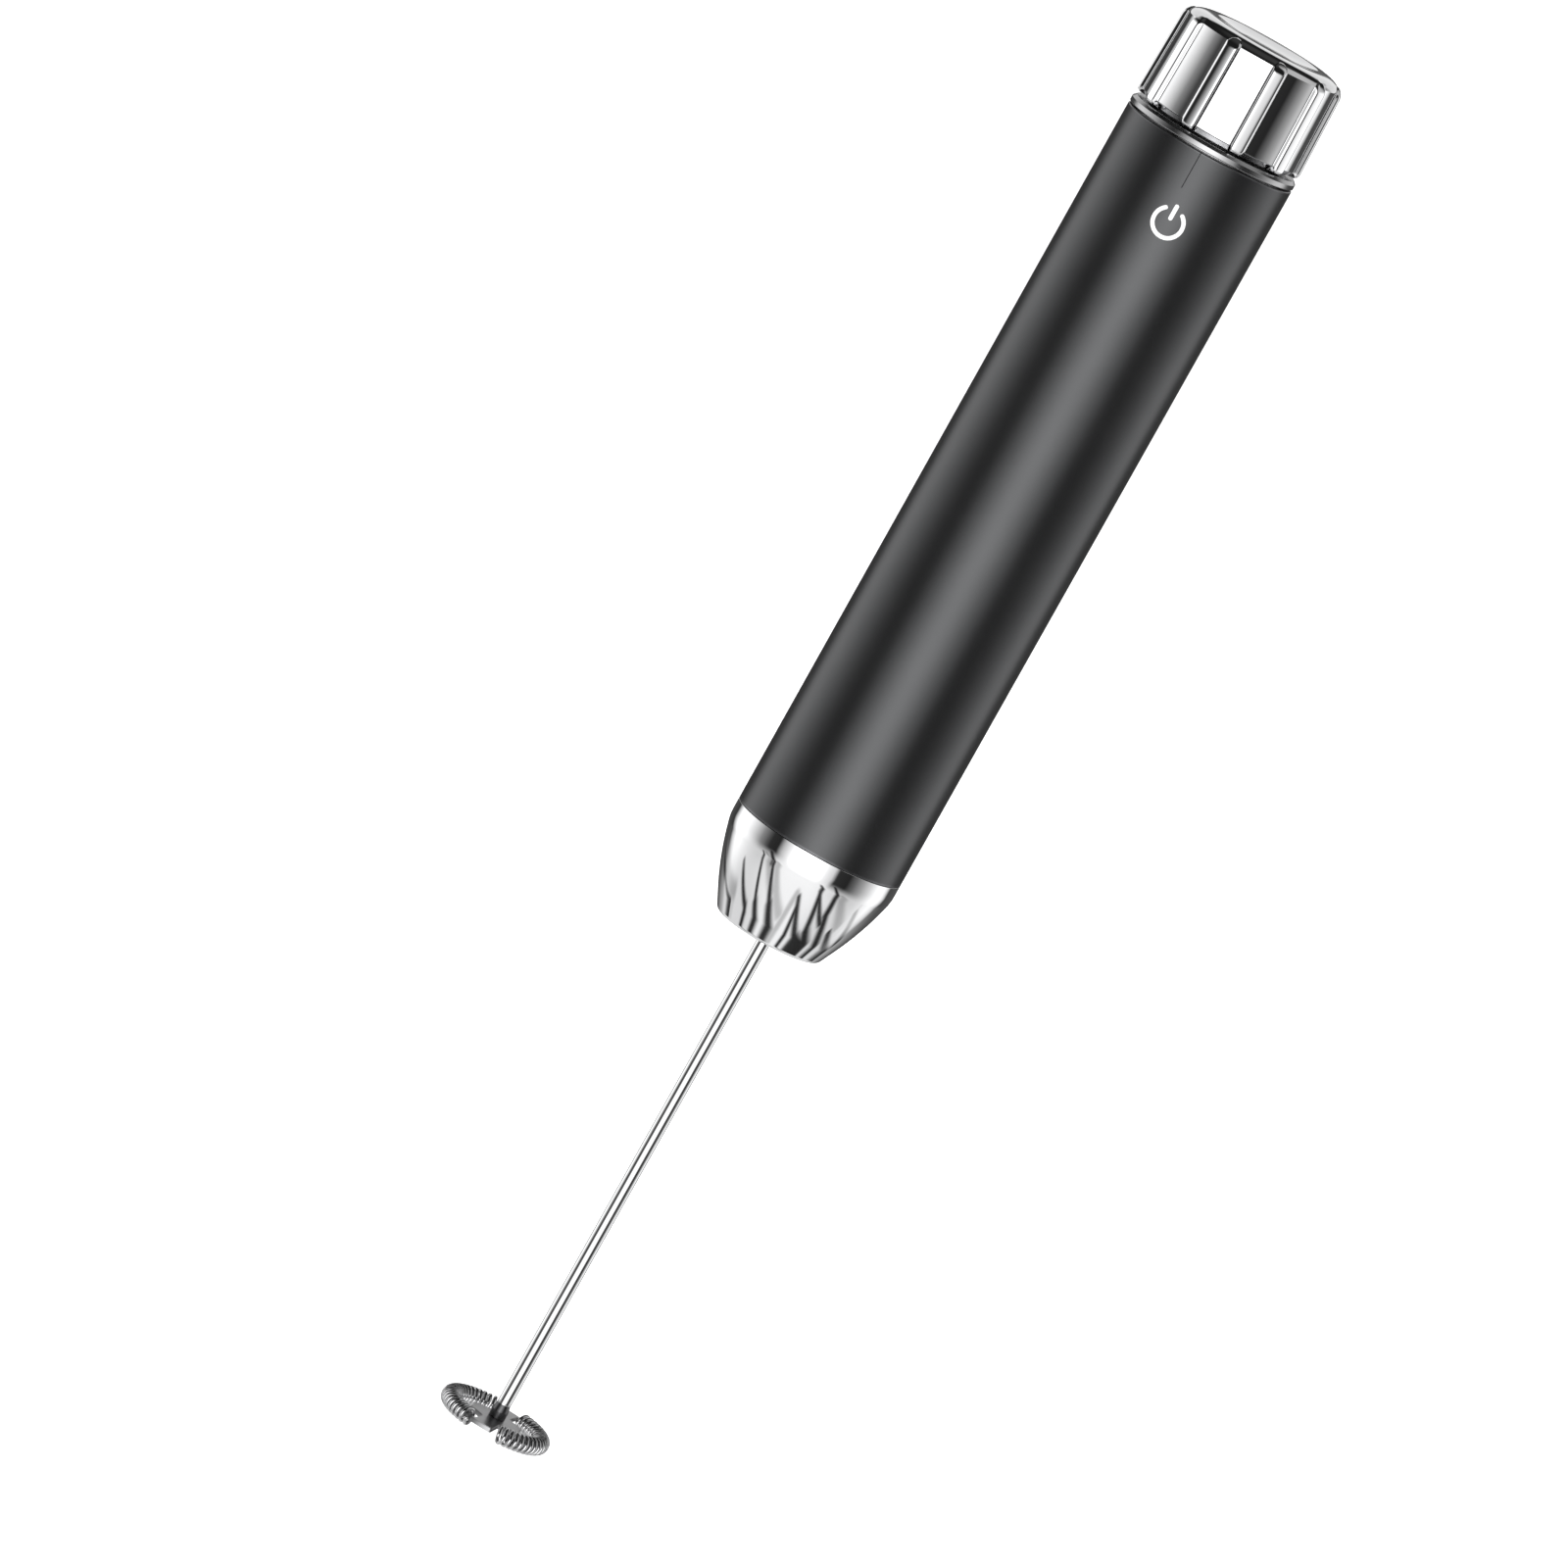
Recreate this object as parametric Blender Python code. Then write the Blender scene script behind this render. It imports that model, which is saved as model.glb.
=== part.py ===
"""Hand-held milk frother: tubular handle, ribbed speed knob, tapered nose and pull-off wire whisk.

The handle stands along Z with the knob up and the whisk down.  The origin is on the axis, at the
seam between the body sleeve and the nose.  Units are metres.
"""

import math

import bmesh
import bpy
from mathutils import Matrix, Vector

MM = 0.001

# ---- Driving dimensions -------------------------------------------------------------------------

FIT = 0.3 * MM                  # gap between pieces that touch
SHAFT_FIT = 0.2 * MM            # gap all round the 2 mm shaft
WELD = 0.001 * MM               # points closer than this are one point

# handle
BODY_RADIUS = 15.0 * MM
BODY_LENGTH = 130.2 * MM
SLEEVE_WALL = 1.0 * MM
EDGE = 0.25 * MM                # small broken edges

# collar at the top of the sleeve
COLLAR_HEIGHT = 1.75 * MM
COLLAR_CHAMFER = 0.6 * MM
COLLAR_SPIGOT = 5.0 * MM
COLLAR_LIP = 1.3 * MM

# knob
KNOB_GAP = 0.35 * MM            # running gap between collar and knob
KNOB_HEIGHT = 16.9 * MM
KNOB_FOOT_INSET = 0.13 * MM      # how far the ribs' foot lies inside the sleeve's surface
KNOB_HEAD_INSET = 0.5 * MM      # and their head, because the knob narrows upwards
KNOB_CORNER = 2.1 * MM
KNOB_CHAMFER = 0.8 * MM
KNOB_WALL = 1.7 * MM
KNOB_CROWN = 2.6 * MM
DISH_RADIUS = 9.3 * MM
DISH_DEPTH = 0.7 * MM
RIB_COUNT = 10
RIB_HEIGHT = 0.75 * MM
RIB_WIDTH = 3.0 * MM
RIB_AZIMUTH = -74.3             # degrees from +X to the first rib

# nose
NOSE_LENGTH = 17.8 * MM
NOSE_LAND = 3.1 * MM            # straight stretch under the seam
NOSE_TIP_RADIUS = 9.8 * MM
NOSE_TIP_CORNER = 1.3 * MM
NOSE_SWELL = 0.32 * MM          # how far the taper bulges past a straight cone
NOSE_WALL = 1.3 * MM
NOSE_SPIGOT = 7.0 * MM
SPIGOT_WALL = 2.1 * MM
RING_GROOVE = 1.5 * MM          # width of the seal groove
RING_SECTION = 0.45 * MM        # radius of the seal's cord
NOSE_CLEARANCE = 0.6 * MM       # gap round the spinning coupler

# motor
MOTOR_RADIUS = 12.2 * MM
MOTOR_CAN_LENGTH = 21.6 * MM
MOTOR_CAP_LENGTH = 5.0 * MM
MOTOR_WALL = 1.0 * MM
MOTOR_BOSS_RADIUS = 3.1 * MM
MOTOR_BOSS_LENGTH = 1.6 * MM
MOTOR_SHAFT_RADIUS = 1.0 * MM
MOTOR_SCREW_SPREAD = 8.5 * MM   # screw centre to motor axis
BUSH_RADIUS = 2.5 * MM
MAGNET_THICKNESS = 1.8 * MM
MAGNET_LENGTH = 13.0 * MM
MAGNET_ARC = 120.0
AIR_GAP = 0.5 * MM
CORE_LENGTH = 10.0 * MM
CORE_STANDOFF = 1.0 * MM        # gap between the can's floor and the windings
POLE_COUNT = 3
STEM_WIDTH = 3.0 * MM
SHOE_THICKNESS = 1.2 * MM
WINDING_BUILD = 1.5 * MM
COMMUTATOR_RADIUS = 2.7 * MM
COMMUTATOR_LENGTH = 4.0 * MM
BRUSH_LENGTH = 4.0 * MM
BRUSH_WIDTH = 1.8 * MM
BRUSH_HEIGHT = 2.2 * MM
SCREW_RADIUS = 1.0 * MM
SCREW_HEAD_RADIUS = 1.9 * MM
SCREW_HEAD = 1.3 * MM

# motor cup and inner frame
CUP_FLOOR = 2.5 * MM
CUP_LEG = 3.3 * MM              # least height of the cup's floor above the spigot
COUPLER_HEADROOM = 1.3 * MM     # least gap between the coupler's top and the cup's floor
CUP_SKIRT = 10.0 * MM
FRAME_WALL = 1.2 * MM
BULKHEAD = 1.5 * MM
VENT_RADIUS = 1.5 * MM          # hole through the middle of each bulkhead

# cell and board
CELL_RADIUS = 9.2 * MM
CELL_LENGTH = 65.2 * MM
TAB_THICKNESS = 0.3 * MM
TAB_WIDTH = 5.0 * MM
TAB_TURN = 4.0 * MM
BOARD_THICKNESS = 1.2 * MM
BOARD_LENGTH = 58.0 * MM
CHIP_SIZE = 5.0 * MM
CHIP_THICKNESS = 1.1 * MM
INDUCTOR_THICKNESS = 3.0 * MM
LEAD_RADIUS = 0.4 * MM
LEAD_SPREAD = 5.0 * MM

# charging port in the rear of the sleeve
PORT_DROP = 8.6 * MM            # board's top edge down to the port's middle
PORT_HEIGHT = 13.0 * MM
PORT_WIDTH = 7.5 * MM
SOCKET_HEIGHT = 9.0 * MM
SOCKET_WIDTH = 3.3 * MM
SOCKET_WALL = 0.3 * MM
PLUG_REACH = 3.0 * MM           # how far the cover's tongue enters the socket

# speed switch under the knob
SWITCH_RADIUS = 8.2 * MM
SWITCH_HEIGHT = 7.0 * MM
SWITCH_BUSHING_RADIUS = 3.5 * MM
SWITCH_BUSHING = 6.5 * MM
SWITCH_DROP = 0.9 * MM          # plug's shoulder down to the bushing's top
WIPER_RADIUS = 6.0 * MM
WIPER_HEIGHT = 1.4 * MM
WIPER_RISE = 1.5 * MM           # switch's floor up to the wiper
SPINDLE_NECK_RADIUS = 2.0 * MM
SPINDLE_RADIUS = 3.0 * MM
SPINDLE_HEAD = 10.0 * MM
SPINDLE_FLAT = 1.5 * MM         # depth of the flat on the spindle
NUT_HEIGHT = 2.0 * MM
NUT_ACROSS = 10.0 * MM
PLUG_WALL = 1.2 * MM
PLUG_FLOOR = 2.0 * MM
NECK_RISE = 2.2 * MM            # how far the plug's neck stands up inside the knob

# knob hub
HUB_WALL = 1.2 * MM
HUB_WEB = 1.6 * MM
HUB_BOSS_RADIUS = 5.0 * MM

# coupler and whisk
COUPLER_RADIUS = 5.15 * MM
COUPLER_LENGTH = 13.9 * MM
COUPLER_LIP = 0.25 * MM
COUPLER_LIP_HEIGHT = 1.0 * MM
COUPLER_NECK_RADIUS = 3.35 * MM
COUPLER_NECK_TAPER = 0.15 * MM
COUPLER_NECK_LENGTH = 13.2 * MM
COUPLER_BORE_DEPTH = 11.5 * MM
COUPLER_SOCKET_DEPTH = 10.0 * MM
WHISK_SHAFT_RADIUS = 1.18 * MM
WHISK_REACH = 92.9 * MM         # nose tip down to the middle of the whisk ring
RING_RADIUS = 8.4 * MM          # centre line of the coiled ring
COIL_RADIUS = 1.3 * MM          # centre line of the coiled wire
WIRE_RADIUS = 0.3 * MM
COIL_TURNS = 22
COIL_GAP = 36.0                 # degrees between the two coils
COIL_GAP_AZIMUTH = 81.5         # degrees from +X to the middle of the rear gap
CARRIER_THICKNESS = 0.8 * MM
CARRIER_BAR_WIDTH = 3.2 * MM    # across each end of the bar
CARRIER_WEB_WIDTH = 8.8 * MM    # across its broad middle
CARRIER_WEB_LENGTH = 3.8 * MM
CARRIER_WEB_FLARE = 1.7 * MM    # how far the broad middle slopes back to the bar
CARRIER_ARM_WIDTH = 1.2 * MM
CARRIER_ARM_ARC = 150.0         # degrees of ring that each arm fills

# how finely round pieces are drawn
BODY_STEPS = 40
LINER_STEPS = 32
PIECE_STEPS = 20
WIRE_STEPS = 8

# ---- Places worked out from the dimensions ------------------------------------------------------

SLEEVE_BORE = BODY_RADIUS - SLEEVE_WALL
LINER_RADIUS = SLEEVE_BORE - FIT                    # whatever slides inside the sleeve
LINER_BORE = LINER_RADIUS - FRAME_WALL

# whisk and coupler, hung from the nose's tip
COUPLER_Z = -NOSE_LENGTH
COUPLER_SHOULDER = COUPLER_Z + COUPLER_LENGTH
COUPLER_TOP = COUPLER_SHOULDER + COUPLER_NECK_LENGTH
MOTOR_SHAFT_Z = COUPLER_TOP - COUPLER_BORE_DEPTH + FIT
RING_Z = -NOSE_LENGTH - WHISK_REACH

# motor, cell and board, stacked up from the nose's spigot
CUP_FOOT = NOSE_SPIGOT + FIT
CUP_DECK = max(CUP_FOOT + CUP_LEG, COUPLER_TOP + COUPLER_HEADROOM)
MOTOR_Z = CUP_DECK + CUP_FLOOR + FIT
MOTOR_TOP = MOTOR_Z + MOTOR_CAN_LENGTH + FIT + MOTOR_CAP_LENGTH
CORE_Z = MOTOR_Z + MOTOR_WALL + CORE_STANDOFF + WINDING_BUILD + FIT
CORE_RADIUS = MOTOR_RADIUS - MOTOR_WALL - FIT - MAGNET_THICKNESS - AIR_GAP
COMMUTATOR_Z = CORE_Z + CORE_LENGTH + FIT + WINDING_BUILD + FIT
CUP_TOP = MOTOR_Z + CUP_SKIRT
LOWER_BULKHEAD_Z = MOTOR_TOP + FIT
LOWER_TAB_Z = LOWER_BULKHEAD_Z + BULKHEAD + FIT
CELL_Z = LOWER_TAB_Z + TAB_THICKNESS + FIT
CELL_Y = -(LINER_BORE - FIT - CELL_RADIUS)
UPPER_TAB_Z = CELL_Z + CELL_LENGTH + FIT
UPPER_BULKHEAD_Z = UPPER_TAB_Z + TAB_THICKNESS + FIT
TAB_END_Y = CELL_Y + CELL_RADIUS + FIT + TAB_THICKNESS
BOARD_Y = TAB_END_Y + FIT
BOARD_OUTER_Y = BOARD_Y + BOARD_THICKNESS
BOARD_HALF_WIDTH = math.sqrt((LINER_RADIUS - FIT) ** 2 - BOARD_OUTER_Y ** 2)
BOARD_TOP = UPPER_BULKHEAD_Z - FIT
LEDGE_Y = BOARD_Y - FIT
PORT_Z = BOARD_TOP - PORT_DROP
SOCKET_Y = BOARD_OUTER_Y + FIT
SOCKET_MOUTH_Y = SLEEVE_BORE - FIT - SLEEVE_WALL / 2

# collar, plug, switch and knob, stacked down and up from the sleeve's top
COLLAR_BORE = LINER_RADIUS - COLLAR_LIP
PLUG_RADIUS = COLLAR_BORE - FIT
NECK_RADIUS = PLUG_RADIUS - COLLAR_LIP
PLUG_SHOULDER = BODY_LENGTH - FIT
KNOB_Z = BODY_LENGTH + COLLAR_HEIGHT + KNOB_GAP
PLUG_TOP = KNOB_Z + NECK_RISE
BUSHING_TOP = PLUG_SHOULDER - SWITCH_DROP
SWITCH_Z = BUSHING_TOP - SWITCH_BUSHING - SWITCH_HEIGHT
PLUG_Z = SWITCH_Z - FIT
PLUG_DECK = SWITCH_Z + SWITCH_HEIGHT + FIT          # underside of the plug's floor
FRAME_TOP = PLUG_Z - FIT
NUT_Z = PLUG_DECK + PLUG_FLOOR + FIT
SPINDLE_Z = SWITCH_Z + WIPER_RISE
SPINDLE_HEAD_Z = BUSHING_TOP + FIT
KNOB_FOOT_RADIUS = BODY_RADIUS - KNOB_FOOT_INSET
KNOB_HEAD_RADIUS = BODY_RADIUS - KNOB_HEAD_INSET
KNOB_BORE = KNOB_HEAD_RADIUS - RIB_HEIGHT - KNOB_WALL
HUB_Z = PLUG_TOP + FIT
HUB_TOP = KNOB_Z + KNOB_HEIGHT - KNOB_CROWN - FIT


# ---- Finishes -----------------------------------------------------------------------------------

def finish(name, colour, roughness, metallic):
    made = bpy.data.materials.new(name)
    made.use_nodes = True
    shader = made.node_tree.nodes["Principled BSDF"]
    shader.inputs["Base Color"].default_value = (*colour, 1.0)
    shader.inputs["Roughness"].default_value = roughness
    shader.inputs["Metallic"].default_value = metallic
    made.diffuse_color = (*colour, 1.0)
    return made


def make_finishes():
    return {
        "black_anodised": finish("black_anodised", (0.035, 0.035, 0.037), 0.42, 0.6),
        "chrome": finish("chrome", (0.78, 0.78, 0.79), 0.06, 1.0),
        "stainless": finish("stainless", (0.62, 0.62, 0.63), 0.18, 1.0),
        "black_plastic": finish("black_plastic", (0.02, 0.02, 0.021), 0.35, 0.0),
        "grey_plastic": finish("grey_plastic", (0.30, 0.31, 0.32), 0.5, 0.0),
        "rubber": finish("rubber", (0.015, 0.015, 0.016), 0.75, 0.0),
        "plated_steel": finish("plated_steel", (0.55, 0.56, 0.57), 0.3, 1.0),
        "magnet_grey": finish("magnet_grey", (0.08, 0.08, 0.085), 0.6, 0.2),
        "core_steel": finish("core_steel", (0.25, 0.25, 0.26), 0.45, 1.0),
        "copper": finish("copper", (0.72, 0.30, 0.12), 0.35, 1.0),
        "bronze": finish("bronze", (0.55, 0.36, 0.16), 0.4, 1.0),
        "cell_wrap": finish("cell_wrap", (0.05, 0.22, 0.42), 0.4, 0.0),
        "nickel": finish("nickel", (0.66, 0.64, 0.60), 0.3, 1.0),
        "board_green": finish("board_green", (0.02, 0.16, 0.07), 0.45, 0.0),
        "chip_black": finish("chip_black", (0.02, 0.02, 0.02), 0.6, 0.0),
        "lead_red": finish("lead_red", (0.45, 0.02, 0.02), 0.5, 0.0),
    }


# ---- Modelling helpers --------------------------------------------------------------------------

def clear_scene():
    for thing in list(bpy.data.objects):
        bpy.data.objects.remove(thing, do_unlink=True)


def add_object(name, data, skin, place, parent):
    thing = bpy.data.objects.new(name, data)
    bpy.context.scene.collection.objects.link(thing)
    thing.location = place
    if skin:
        data.materials.append(skin)
    if parent:
        thing.parent = parent
        thing.location = Vector(place) - parent.location
    return thing


def keep_mesh(name, bm, skin, place, parent):
    bmesh.ops.remove_doubles(bm, verts=bm.verts, dist=WELD)
    bmesh.ops.recalc_face_normals(bm, faces=bm.faces)
    mesh = bpy.data.meshes.new(name)
    bm.to_mesh(mesh)
    bm.free()
    mesh.shade_smooth()
    mesh.set_sharp_from_angle(angle=math.radians(32))
    return add_object(name, mesh, skin, place, parent)


def axis_empty(name, place):
    thing = bpy.data.objects.new(name, None)
    bpy.context.scene.collection.objects.link(thing)
    thing.empty_display_size = 5 * MM
    thing.location = place
    return thing


def arc(centre, radius, start, end, steps):
    """Points on an arc in a plane, from one angle to another in degrees, both ends included."""
    points = []
    for index in range(steps + 1):
        angle = math.radians(start + (end - start) * index / steps)
        points.append((centre[0] + radius * math.cos(angle), centre[1] + radius * math.sin(angle)))
    return points


def spun(name, outline, skin, place=(0, 0, 0), steps=PIECE_STEPS, parent=None):
    """Turn a closed outline of (radius, height) points round the piece's own Z axis."""
    bm = bmesh.new()
    points = [bm.verts.new((radius, 0, height)) for radius, height in outline]
    edges = []
    for here, there in zip(points, points[1:] + points[:1]):
        if here.co.x > WELD or there.co.x > WELD:
            edges.append(bm.edges.new((here, there)))
    bmesh.ops.spin(bm, geom=points + edges, cent=(0, 0, 0), axis=(0, 0, 1), angle=math.tau, steps=steps)
    return keep_mesh(name, bm, skin, place, parent)


def ring(name, inner, outer, height, skin, place, parent=None, steps=PIECE_STEPS):
    """A plain turned ring or bush standing at its place."""
    outline = [(inner, 0), (outer, 0), (outer, height), (inner, height)]
    return spun(name, outline, skin, place, steps, parent)


def disc(name, radius, height, skin, place, parent=None, steps=PIECE_STEPS):
    return spun(name, [(0, 0), (radius, 0), (radius, height), (0, height)], skin, place, steps, parent)


def plate(name, outline, thickness, skin, place=(0, 0, 0), parent=None, turn=None):
    """Extrude a flat outline of (x, y) points upward; turn is a rotation given to the piece."""
    bm = bmesh.new()
    face = bm.faces.new([bm.verts.new((x, y, 0)) for x, y in outline])
    grown = bmesh.ops.extrude_face_region(bm, geom=[face])
    moved = [item for item in grown["geom"] if isinstance(item, bmesh.types.BMVert)]
    bmesh.ops.translate(bm, verts=moved, vec=(0, 0, thickness))
    thing = keep_mesh(name, bm, skin, place, parent)
    if turn:
        thing.rotation_euler = turn
    return thing


def box(name, low, high, skin, parent=None, bevel=0.0):
    """A block between two corners, with its origin at its middle."""
    middle = (Vector(low) + Vector(high)) / 2
    size = Vector(high) - Vector(low)
    bm = bmesh.new()
    bmesh.ops.create_cube(bm, size=1.0, matrix=Matrix.Diagonal((*size, 1.0)))
    if bevel:
        bmesh.ops.bevel(bm, geom=list(bm.edges), offset=bevel, segments=1, affect="EDGES")
    return keep_mesh(name, bm, skin, middle, parent)


def slot_outline(height, width, steps=6):
    """A slot with round ends, long along Y."""
    end = (height - width) / 2
    return arc((0, end), width / 2, 0, 180, steps) + arc((0, -end), width / 2, 180, 360, steps)


def combine(target, tool, operation):
    """Cut, join or trim the target with a tool that is itself left out of the model."""
    tool.hide_render = True
    tool.display_type = "WIRE"
    modifier = target.modifiers.new(tool.name, "BOOLEAN")
    modifier.operation = operation
    modifier.solver = "EXACT"
    modifier.object = tool


def wire(name, points, radius, skin, parent=None, sides=4):
    """A round wire along a row of points in world space, with closed ends."""
    curve = bpy.data.curves.new(name, "CURVE")
    curve.dimensions = "3D"
    curve.bevel_depth = radius
    curve.bevel_resolution = (sides - 4) // 2
    curve.use_fill_caps = True
    origin = parent.location if parent else Vector((0, 0, 0))
    spline = curve.splines.new("POLY")
    spline.points.add(len(points) - 1)
    for knot, point in zip(spline.points, points):
        knot.co = (*(Vector(point) - origin), 1.0)
    return add_object(name, curve, skin, origin, parent)


# ---- Handle -------------------------------------------------------------------------------------

def body_sleeve(skins):
    length = BODY_LENGTH - FIT / 2
    outline = [
        (SLEEVE_BORE, 0),
        (BODY_RADIUS - EDGE, 0),
        (BODY_RADIUS, EDGE),
        (BODY_RADIUS, length - EDGE),
        (BODY_RADIUS - EDGE, length),
        (SLEEVE_BORE, length),
    ]
    sleeve = spun("body_sleeve", outline, skins["black_anodised"], (0, 0, FIT / 2), BODY_STEPS)
    tool = plate("port_cutter", slot_outline(PORT_HEIGHT, PORT_WIDTH), BODY_RADIUS, None)
    tool.location = (0, BODY_RADIUS / 2, PORT_Z)
    tool.rotation_euler = (math.radians(90), 0, math.radians(180))
    combine(sleeve, tool, "DIFFERENCE")


def nose_taper(steps):
    """Outer line of the nose from the land down to the tip, as a shallow arc."""
    top = Vector((BODY_RADIUS - EDGE / 2, -NOSE_LAND))
    low = Vector((NOSE_TIP_RADIUS, NOSE_TIP_CORNER - NOSE_LENGTH))
    outward = Vector((top.y - low.y, low.x - top.x)).normalized()
    points = []
    for index in range(steps + 1):
        share = index / steps
        point = top.lerp(low, share) + outward * NOSE_SWELL * 4 * share * (1 - share)
        points.append((point.x, point.y))
    return points


def nose_cone(skins):
    opening = COUPLER_RADIUS + COUPLER_LIP + NOSE_CLEARANCE
    spigot_bore = LINER_RADIUS - SPIGOT_WALL
    groove_floor = LINER_RADIUS - RING_SECTION * 2 - FIT
    groove_z = (NOSE_SPIGOT - RING_GROOVE) / 2
    corner = (NOSE_TIP_RADIUS - NOSE_TIP_CORNER, NOSE_TIP_CORNER - NOSE_LENGTH)
    outline = [
        (spigot_bore, NOSE_SPIGOT),
        (spigot_bore, -NOSE_LAND),
        (NOSE_TIP_RADIUS - NOSE_WALL, 2 * NOSE_WALL - NOSE_LENGTH),
        (opening, NOSE_WALL - NOSE_LENGTH),
        (opening, -NOSE_LENGTH),
    ]
    outline += arc(corner, NOSE_TIP_CORNER, -90, -12, 2)
    outline += reversed(nose_taper(4))
    outline += [
        (BODY_RADIUS, -NOSE_LAND + 2 * EDGE),
        (BODY_RADIUS, -FIT / 2 - EDGE),
        (BODY_RADIUS - EDGE, -FIT / 2),
        (LINER_RADIUS, -FIT / 2),
        (LINER_RADIUS, groove_z),
        (groove_floor, groove_z),
        (groove_floor, groove_z + RING_GROOVE),
        (LINER_RADIUS, groove_z + RING_GROOVE),
        (LINER_RADIUS, NOSE_SPIGOT),
    ]
    spun("nose_cone", outline, skins["chrome"], (0, 0, 0), BODY_STEPS)


def seal_ring(name, radius, height, skins):
    section = arc((radius, 0), RING_SECTION, 0, 360, 6)[:-1]
    spun(name, section, skins["rubber"], (0, 0, height), PIECE_STEPS)


def collar_ring(skins):
    """Ring that screws into the sleeve's top and clamps the end plug under its lip."""
    low = FIT / 2
    lip_low = PLUG_SHOULDER + FIT - BODY_LENGTH
    outline = [
        (COLLAR_BORE, -COLLAR_SPIGOT),
        (LINER_RADIUS, -COLLAR_SPIGOT),
        (LINER_RADIUS, low),
        (BODY_RADIUS - EDGE, low),
        (BODY_RADIUS, low + EDGE),
        (BODY_RADIUS, COLLAR_HEIGHT - COLLAR_CHAMFER),
        (BODY_RADIUS - COLLAR_CHAMFER, COLLAR_HEIGHT),
        (NECK_RADIUS + FIT, COLLAR_HEIGHT),
        (NECK_RADIUS + FIT, lip_low),
        (COLLAR_BORE, lip_low),
    ]
    spun("collar_ring", outline, skins["chrome"], (0, 0, BODY_LENGTH), BODY_STEPS)


def end_plug(skins):
    """Cup that carries the speed switch; its neck stands up through the collar into the knob."""
    bore = NECK_RADIUS - PLUG_WALL
    hole = SWITCH_BUSHING_RADIUS + FIT
    outline = [
        (bore, 0),
        (PLUG_RADIUS, 0),
        (PLUG_RADIUS, PLUG_SHOULDER - PLUG_Z),
        (NECK_RADIUS, PLUG_SHOULDER - PLUG_Z),
        (NECK_RADIUS, PLUG_TOP - PLUG_Z),
        (bore, PLUG_TOP - PLUG_Z),
        (bore, PLUG_DECK + PLUG_FLOOR - PLUG_Z),
        (hole, PLUG_DECK + PLUG_FLOOR - PLUG_Z),
        (hole, PLUG_DECK - PLUG_Z),
        (bore, PLUG_DECK - PLUG_Z),
    ]
    spun("end_plug", outline, skins["black_plastic"], (0, 0, PLUG_Z), LINER_STEPS)


def inner_frame(skins):
    """Tube that holds the motor, then a trough for the cell, closed by a bulkhead at each end."""
    foot = CUP_TOP + FIT
    motor_bore = MOTOR_RADIUS + FIT
    outline = [
        (motor_bore, 0),
        (LINER_RADIUS, 0),
        (LINER_RADIUS, FRAME_TOP - foot),
        (LINER_BORE, FRAME_TOP - foot),
        (LINER_BORE, UPPER_BULKHEAD_Z + BULKHEAD - foot),
        (VENT_RADIUS, UPPER_BULKHEAD_Z + BULKHEAD - foot),
        (VENT_RADIUS, UPPER_BULKHEAD_Z - foot),
        (LINER_BORE, UPPER_BULKHEAD_Z - foot),
        (LINER_BORE, LOWER_BULKHEAD_Z + BULKHEAD - foot),
        (VENT_RADIUS, LOWER_BULKHEAD_Z + BULKHEAD - foot),
        (VENT_RADIUS, LOWER_BULKHEAD_Z - foot),
        (motor_bore, LOWER_BULKHEAD_Z - foot),
    ]
    frame = spun("inner_frame", outline, skins["grey_plastic"], (0, 0, foot), LINER_STEPS)
    low = (-BODY_RADIUS, LEDGE_Y, LOWER_BULKHEAD_Z + BULKHEAD)
    high = (BODY_RADIUS, BODY_RADIUS, UPPER_BULKHEAD_Z)
    combine(frame, box("board_window", low, high, None), "DIFFERENCE")
    side = LEAD_SPREAD + 3 * LEAD_RADIUS
    low = (-side, LEDGE_Y - 4 * LEAD_RADIUS, LOWER_BULKHEAD_Z - FIT)
    high = (side, LEDGE_Y + 4 * LEAD_RADIUS, LOWER_BULKHEAD_Z + BULKHEAD + FIT)
    combine(frame, box("lead_notch", low, high, None), "DIFFERENCE")
    low = (-side, LEDGE_Y - 4 * LEAD_RADIUS, UPPER_BULKHEAD_Z - FIT)
    high = (side, LEDGE_Y + 4 * LEAD_RADIUS, UPPER_BULKHEAD_Z + BULKHEAD + FIT)
    combine(frame, box("switch_notch", low, high, None), "DIFFERENCE")


def motor_cup(skins):
    """Cup that centres the motor and stands on the nose's spigot."""
    hole = MOTOR_BOSS_RADIUS + FIT
    bore = MOTOR_RADIUS + FIT
    deck = CUP_DECK - CUP_FOOT
    outline = [
        (LINER_BORE, 0),
        (LINER_RADIUS, 0),
        (LINER_RADIUS, CUP_TOP - CUP_FOOT),
        (bore, CUP_TOP - CUP_FOOT),
        (bore, deck + CUP_FLOOR),
        (hole, deck + CUP_FLOOR),
        (hole, deck),
        (LINER_BORE, deck),
    ]
    cup = spun("motor_cup", outline, skins["grey_plastic"], (0, 0, CUP_FOOT), LINER_STEPS)
    for side in (-1, 1):
        place = (side * MOTOR_SCREW_SPREAD, 0, CUP_DECK - FIT)
        tool = disc("screw_hole", SCREW_RADIUS + FIT, CUP_FLOOR + 2 * FIT, None, place, steps=12)
        combine(cup, tool, "DIFFERENCE")


# ---- Motor --------------------------------------------------------------------------------------

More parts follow.
